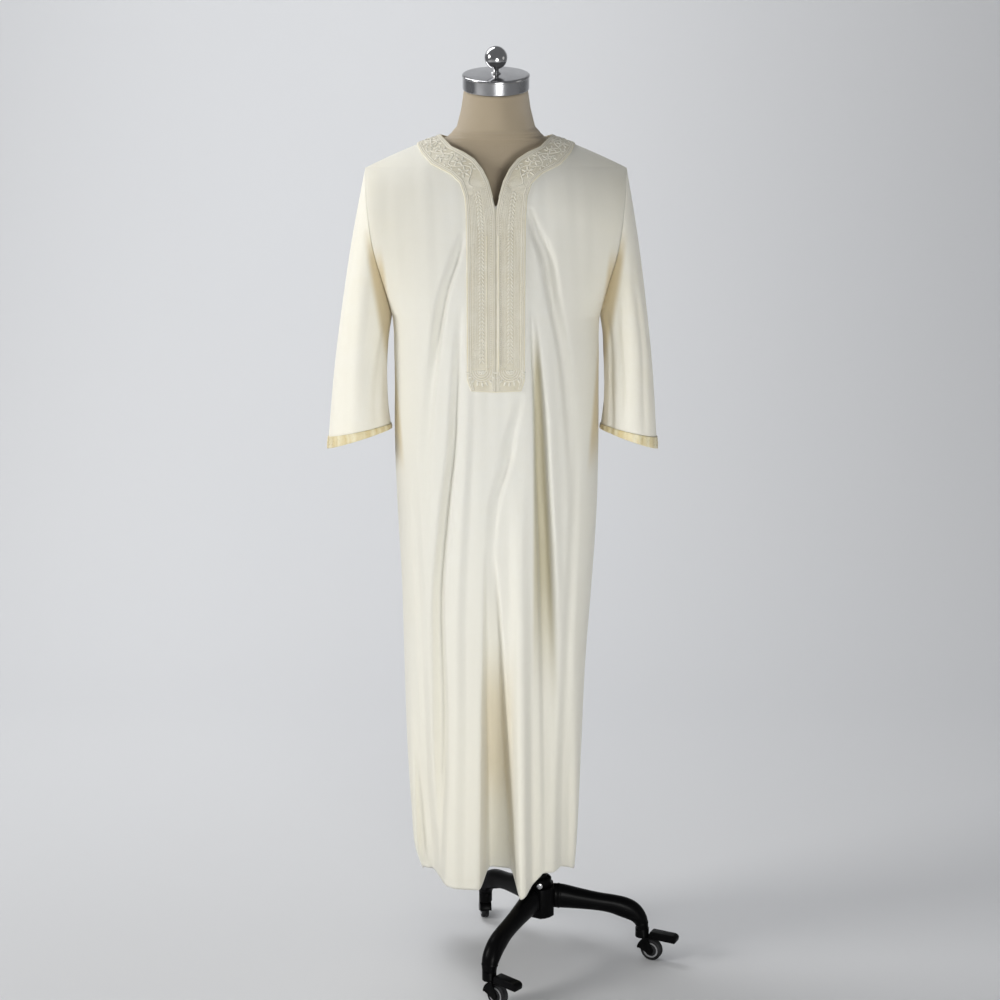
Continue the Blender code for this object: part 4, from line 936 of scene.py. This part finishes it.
def makeBands():
    for side, word in ((-1, "left"), (1, "right")):
        rows = bandRows(side, band["rows"], band["across"])
        face = bandFace(rows, (0, -1, 0))
        ground = gridPiece("neckBand" + word.title(), rows + face.normals * band["lift"], finish["band"], "form",
                           wall=band["wall"], outward=(0, -1, 0))
        label(ground, "embroidery", "neck_band_" + word)
        lines, fine, leaves, picots = halfBandWork(face, side)
        work = joinMeshes("embroidery" + word.title(),
                          [cordMesh("cords", lines, band["stem"]), cordMesh("pins", fine, band["pin"], 0),
                           leafMesh("leaves", leaves + picots)], finish["thread"])
        edge = face.line(0.002, face.length - 0.001, 220, 1.0, 0.0012)
        inner = face.line(0.002, 0.200, 90, 0.0, band["lift"] - 0.0002)
        foot = [face.spot(face.length - 0.0008, t, band["lift"] - 0.0006)[0] for t in np.linspace(0.02, 0.98, 24)]
        cord = joinMeshes("piping" + word.title(), [cordMesh("edge", [edge], band["piping"], 2),
                                                    cordMesh("inner", [inner, foot], 0.0009, 1)], finish["piping"])
        label(cord, "embroidery", "piping_" + word)
        area, width, length = areaOf(rows)
        print("band", word, "area", round(area, 4), "widest", round(width, 3), "longest", round(length, 3))
    rows = backBandRows(band["backRows"], band["backAcross"])
    face = bandFace(rows, (0, 1, 0))
    ground = gridPiece("neckBandBack", rows + face.normals * band["lift"], finish["band"], "form",
                       wall=band["wall"], outward=(0, 1, 0))
    label(ground, "embroidery", "neck_band_back")
    stems, petals = scrollWork(face, 0.012, face.length - 0.012, 1)
    lines = stems + [face.line(0.002, face.length - 0.002, 120, share, band["lift"] + 0.0002)
                     for share in band["edgeCords"]]
    edges = [face.line(0.002, face.length - 0.002, 120, share, height)
             for share, height in ((1.0, 0.0012), (0.0, band["lift"] - 0.0002))]
    work = joinMeshes("embroideryBack", [cordMesh("cords", lines, band["stem"]), leafMesh("leaves", petals)],
                      finish["thread"])
    trim = joinMeshes("pipingBack", [cordMesh("edge", edges, 0.0012, 2)], finish["piping"])
    # raised cord down the opening, with its picots
    def before(x, z, out):
        return Vector(panelPoint(-1, x, z) + np.array([0.0, -out, 0.0]) + robePlace)

    heights = np.linspace(*placketCord["z"], 120)
    line = [before(placketCord["x"], z, placketCord["out"]) for z in heights]
    thin = [before(placketCord["second"], z, band["lift"] + 0.0003) for z in heights]
    beads = [(before(placketCord["beads"], z, band["lift"] + 0.0002), Vector((0, -1, 0)), Vector((0, 0, 1)),
              (0.0011, 0.0013, 0.0010)) for z in np.arange(1.352, 1.136, -0.0030)]
    cord = joinMeshes("placketCord", [cordMesh("cord", [line], placketCord["radius"], 3),
                                      cordMesh("thin", [thin], placketCord["thin"], 2), leafMesh("beads", beads)],
                      finish["piping"])
    label(cord, "embroidery", "placket_cord")


# dress form
form = dict(
    z=[0.800, 0.812, 0.860, 0.940, 1.020, 1.100, 1.180, 1.260, 1.330, 1.390, 1.440, 1.474, 1.490, 1.5003,
       1.5117, 1.5205, 1.5285, 1.545, 1.575, 1.607],
    half=[0.140, 0.148, 0.157, 0.162, 0.156, 0.149, 0.152, 0.162, 0.172, 0.179, 0.183, 0.183, 0.178, 0.1664,
          0.1395, 0.1100, 0.0840, 0.0680, 0.0600, 0.0550],
    front=[0.074, 0.080, 0.085, 0.086, 0.085, 0.084, 0.088, 0.093, 0.093, 0.086, 0.073, 0.063, 0.060, 0.057,
           0.054, 0.053, 0.055, 0.0600, 0.0590, 0.0555],
    back=[0.088, 0.094, 0.102, 0.104, 0.096, 0.085, 0.084, 0.088, 0.090, 0.084, 0.074, 0.066, 0.064, 0.062,
          0.060, 0.058, 0.058, 0.0610, 0.0590, 0.0555],
    middle=[0.0] * 16 + [-0.003, -0.008, -0.014, -0.022], tilt=[0] * 16 + [3, 9, 15, 17],
    square=[2.3] * 11 + [2.2, 2.1] + [2.0] * 7,
)
cap = dict(radius=0.0575, height=0.026, ball=0.0195, stem=0.008, y=-0.022, z=1.607, tilt=17.0)


def makeForm():
    count, around = 190, 112
    steps = np.arange(len(form["z"]))
    k = np.linspace(0.0, len(steps) - 1.0, count)
    row = {key: np.interp(k, steps, form[key]) for key in form}
    for key in ("half", "front", "back"):       # soften the kinks between the table's rows
        smooth = np.convolve(np.pad(row[key], 4, mode="edge"), np.hanning(11)[1:-1] / np.hanning(11).sum(), "valid")
        row[key] = np.minimum(row[key], smooth)
    groove = 0.0009 * np.exp(-((row["z"] - 1.5345) / 0.0014) ** 2)     # seam round the foot of the neck
    a = np.arange(around)[None, :] * 2 * math.pi / around
    c, s = np.cos(a), np.sin(a)
    power = (2.0 / row["square"])[:, None]
    x = (row["half"] - groove)[:, None] * np.sign(c) * np.abs(c) ** power
    depth = np.where(s > 0, (row["back"] - groove)[:, None], (row["front"] - groove)[:, None])
    y = depth * np.sign(s) * np.abs(s) ** power
    seam = 0.0007 * np.exp(-(x / 0.0016) ** 2) * (s > 0)      # centre back seam
    lean = np.radians(row["tilt"])[:, None]
    y = y - seam
    points = np.stack([x, row["middle"][:, None] + y * np.cos(lean), row["z"][:, None] + y * np.sin(lean)], axis=-1)
    obj = gridPiece("formBody", points[::-1], finish["jersey"], "form", closed=True, caps=True)
    label(obj, "jersey", "form_body")


def lathe(name, profile, material, body, place, steps=64, smooth=30.0):
    # a profile of radius and height spun round its own axis and set in place by a matrix
    bm = bmesh.new()
    verts = [bm.verts.new((r, 0.0, z)) for r, z in profile]
    edges = [bm.edges.new(pair) for pair in zip(verts, verts[1:])]
    bmesh.ops.spin(bm, geom=verts + edges, cent=(0, 0, 0), axis=(0, 0, 1), angle=2 * math.pi, steps=steps,
                   use_merge=True)
    bmesh.ops.remove_doubles(bm, verts=bm.verts[:], dist=1e-6)
    bmesh.ops.recalc_face_normals(bm, faces=bm.faces[:])
    bm.transform(place)
    return addPiece(name, meshFrom(bm, name, smooth), material, body)


def rounded(corners, radius, steps=4):
    # a profile with its inner corners rounded
    line = [corners[0]]
    for before, here, after in zip(corners, corners[1:], corners[2:]):
        here = Vector(here)
        first, second = Vector(before) - here, Vector(after) - here
        reach = min(radius, first.length * 0.45, second.length * 0.45)
        start, stop = here + first.normalized() * reach, here + second.normalized() * reach
        for n in range(steps + 1):
            t = n / steps
            line.append(tuple((1 - t) ** 2 * start + 2 * t * (1 - t) * here + t * t * stop))
    return line + [corners[-1]]


def makeCap():
    place = (Matrix.Translation(Vector(robePlace) + Vector((0.0, cap["y"], cap["z"])))
             @ Matrix.Rotation(math.radians(cap["tilt"]), 4, "X"))
    r, h = cap["radius"], cap["height"]
    profile = rounded([(0.0, 0.0005), (r - 0.0015, 0.0005), (r, 0.0020), (r, h - 0.0040), (r + 0.0006, h - 0.0034),
                       (r + 0.0006, h - 0.0008), (r - 0.0022, h + 0.0004), (0.020, h + 0.0008), (0.0, h + 0.0010)],
                      0.0012)
    disc = lathe("neckCap", profile, finish["chrome"], "form", place, 96, 40.0)
    label(disc, "chrome", "neck_cap")
    base = h + 0.0012
    neck = [(0.0, base), (0.0086, base), (0.0080, base + 0.0016), (0.0052, base + 0.0030), (0.0050, base + 0.0070)]
    for n in range(25):
        a = -math.pi / 2 + 0.27 + (math.pi - 0.27) * n / 24
        neck.append((max(cap["ball"] * math.cos(a), 0.0), base + cap["stem"] + cap["ball"] * (0.95 + math.sin(a))))
    ball = lathe("capBall", neck, finish["chrome"], "form", place, 64, 60.0)
    label(ball, "chrome", "cap_ball")


# base
leg = dict(
    angles=dict(right=1.6, back=121.6, front=241.6), stations=96, sides=36,
    reach=[0.0273, 0.045, 0.070, 0.095, 0.118, 0.140, 0.160, 0.1755, 0.1880, 0.1945, 0.1960],
    z=[0.1270, 0.1255, 0.1210, 0.1165, 0.1125, 0.1080, 0.1015, 0.0935, 0.0820, 0.0700, 0.0600],
    tall=[0.046, 0.045, 0.040, 0.036, 0.034, 0.0355, 0.0385, 0.0375, 0.031, 0.025, 0.023],
    wide=[0.033, 0.034, 0.032, 0.030, 0.029, 0.029, 0.031, 0.032, 0.032, 0.029, 0.026],
    lean=[0, 3, 10, 13, 12, 16, 28, 46, 64, 80, 90],
)
castor = dict(reach=0.1960, trail=0.0200, radius=0.0205, width=0.0150, bore=0.0034,
              swivels=dict(right=-27.0, back=96.0, front=-42.0))


def legFrame(angle):
    return Matrix.Translation(postPlace) @ Matrix.Rotation(math.radians(angle), 4, "Z")


def makeLeg(word):
    steps = np.arange(len(leg["reach"]))
    k = np.linspace(0.0, len(steps) - 1.0, leg["stations"])
    row = {key: curveAt(steps, leg[key], k) for key in ("reach", "z", "tall", "wide", "lean")}
    a = np.arange(leg["sides"]) * 2 * math.pi / leg["sides"]
    lean = np.radians(row["lean"])[:, None]
    wide = row["wide"][:, None] / 2 * np.sign(np.cos(a)) * np.abs(np.cos(a)) ** 0.9
    tall = row["tall"][:, None] / 2 * np.sign(np.sin(a)) * np.abs(np.sin(a)) ** 0.9
    bead = 0.0009 * np.exp(-((k - 9.0) / 0.10) ** 2)[:, None] + 0.0007 * np.exp(-((k - 0.55) / 0.10) ** 2)[:, None]
    wide, tall = wide * (1 + bead / 0.012), tall * (1 + bead / 0.014)
    points = np.stack([row["reach"][:, None] + tall * np.sin(lean), wide, row["z"][:, None] + tall * np.cos(lean)],
                      axis=-1)
    turn = np.array(legFrame(leg["angles"][word]))
    points = points @ turn[:3, :3].T + turn[:3, 3] - robePlace
    obj = gridPiece("leg" + word.title(), points, finish["enamel"], "base", closed=True, caps=True)
    label(obj, "enamel", "leg_" + word)


def softened(node, name, look, width, body, segments=3):
    # a copy of a CAD part with its edges rounded
    bm = bmesh.new()
    bm.from_mesh(frame["nodes"][node].data)
    bmesh.ops.remove_doubles(bm, verts=bm.verts[:], dist=2e-6)
    bmesh.ops.dissolve_limit(bm, angle_limit=math.radians(1.0), verts=bm.verts[:], edges=bm.edges[:])
    bmesh.ops.recalc_face_normals(bm, faces=bm.faces[:])
    sharp = [e for e in bm.edges if len(e.link_faces) == 2 and e.calc_face_angle(0.0) > math.radians(30.0)]
    bmesh.ops.bevel(bm, geom=sharp, offset=width, offset_type="OFFSET", affect="EDGES", segments=segments,
                    profile=0.5, material=-1, clamp_overlap=True)
    label(addPiece(name, meshFrom(bm, name, 38.0), finish[look], body), look, node)


def makeWheel(word):
    foot = legFrame(leg["angles"][word]) @ Vector((castor["reach"], 0.0, 0.0))
    axle = (Matrix.Translation(foot) @ Matrix.Rotation(math.radians(castor["swivels"][word]), 4, "Z")
            @ Matrix.Translation((castor["trail"], 0.0, castor["radius"])) @ Matrix.Rotation(math.pi / 2, 4, "X"))
    r, half, bore = castor["radius"], castor["width"] / 2, castor["bore"]
    tread = rounded([(bore, half), (0.0105, half), (0.0112, half - 0.0016), (0.0150, half - 0.0016),
                     (0.0158, half - 0.0002), (r - 0.0016, half - 0.0002), (r, half - 0.0022), (r, 0.0006),
                     (r - 0.0007, 0.0), (r, -0.0006), (r, -half + 0.0022), (r - 0.0016, -half + 0.0002),
                     (0.0158, -half + 0.0002), (0.0150, -half + 0.0016), (0.0112, -half + 0.0016), (0.0105, -half),
                     (bore, -half), (bore, half)], 0.0006, 2)
    wheel = lathe("wheel" + word.title(), tread, finish["rubber"], "roller_" + word, axle, 72, 40.0)
    label(wheel, "rubber", "wheel_" + word)
    for way, part in ((1, "Outer"), (-1, "Inner")):
        seat = half - 0.0015
        ring = rounded([(0.0118, way * seat), (0.0118, way * (seat + 0.0011)), (0.0146, way * (seat + 0.0011)),
                        (0.0146, way * seat), (0.0118, way * seat)], 0.0003, 2)
        face = lathe("wheelRing" + part + word.title(), ring, finish["wheelFace"], "roller_" + word, axle, 56,
                     40.0)
        label(face, "chrome")


def makeBase():
    for word in ("right", "back", "front"):
        makeLeg(word)
        makeWheel(word)
        softened("castor_" + word, "castorFork" + word.title(), "enamel", 0.0006, "fork_" + word, 2)
        softened("pedal_" + word, "brakePedal" + word.title(), "enamel", 0.0016, "brake_" + word, 4)
    for node, name, width in (("hub", "hubCast", 0.0016), ("hub_ring", "hubCollar", 0.0007),
                              ("post_clamp", "postClamp", 0.0010)):
        softened(node, name, "enamel", width, "base")
    softened("clamp_screw", "clampScrew", "enamel", 0.0006, "screw", 2)
    softened("hub_screw", "hubScrew", "chrome", 0.0006, "base", 2)


def makeStudio():
    bm = bmesh.new()
    spots = [(0.0, studio["front"], 0.0), (0.0, studio["back"] - studio["bend"], 0.0)]
    for k in range(1, 17):
        a = math.pi / 2 * k / 16
        spots.append((0.0, studio["back"] - studio["bend"] + studio["bend"] * math.sin(a),
                      studio["bend"] * (1.0 - math.cos(a))))
    spots.append((0.0, studio["back"], studio["top"]))
    verts = [bm.verts.new((-studio["half"], y, z)) for _, y, z in spots]
    edges = [bm.edges.new(pair) for pair in zip(verts, verts[1:])]
    grown = bmesh.ops.extrude_edge_only(bm, edges=edges)
    moved = [v for v in grown["geom"] if isinstance(v, bmesh.types.BMVert)]
    bmesh.ops.translate(bm, verts=moved, vec=(2 * studio["half"], 0.0, 0.0))
    mesh = meshFrom(bm, "sweep")
    obj = bpy.data.objects.new("sweep", mesh)
    bpy.context.scene.collection.objects.link(obj)
    material, tree, shader = newMaterial("sweepPaper", studio["tone"], 0.9)
    cloudy = useGroup(tree, tone, Vector=objectCoords(tree), Large=0.5, Small=3.0)
    colour = mixColour(tree, times(tree, cloudy["Patches"], 0.25), (*studio["tone"], 1), (*studio["cool"], 1))
    tree.links.new(colour, shader.inputs["Base Color"])
    mesh.materials.append(material)


makeCamera()
makeLamps()
print("camera and lamps placed")
makeStudio()
panels = makeBody()
print("front and back made")
for side, word in ((-1, "left"), (1, "right")):
    makeSleeve(side, word)
print("sleeves and cuffs made")

makeBands()
print("band made")
makeForm()
makeCap()
print("form made")
makeBase()
print("base made")

# CAD parts that keep their shape get their finish here
for name, key in (("post_rod", "chrome"), ("post_tube", "enamel")):
    obj = frame["nodes"][name]
    obj.data.materials.clear()
    obj.data.materials.append(finish[key])
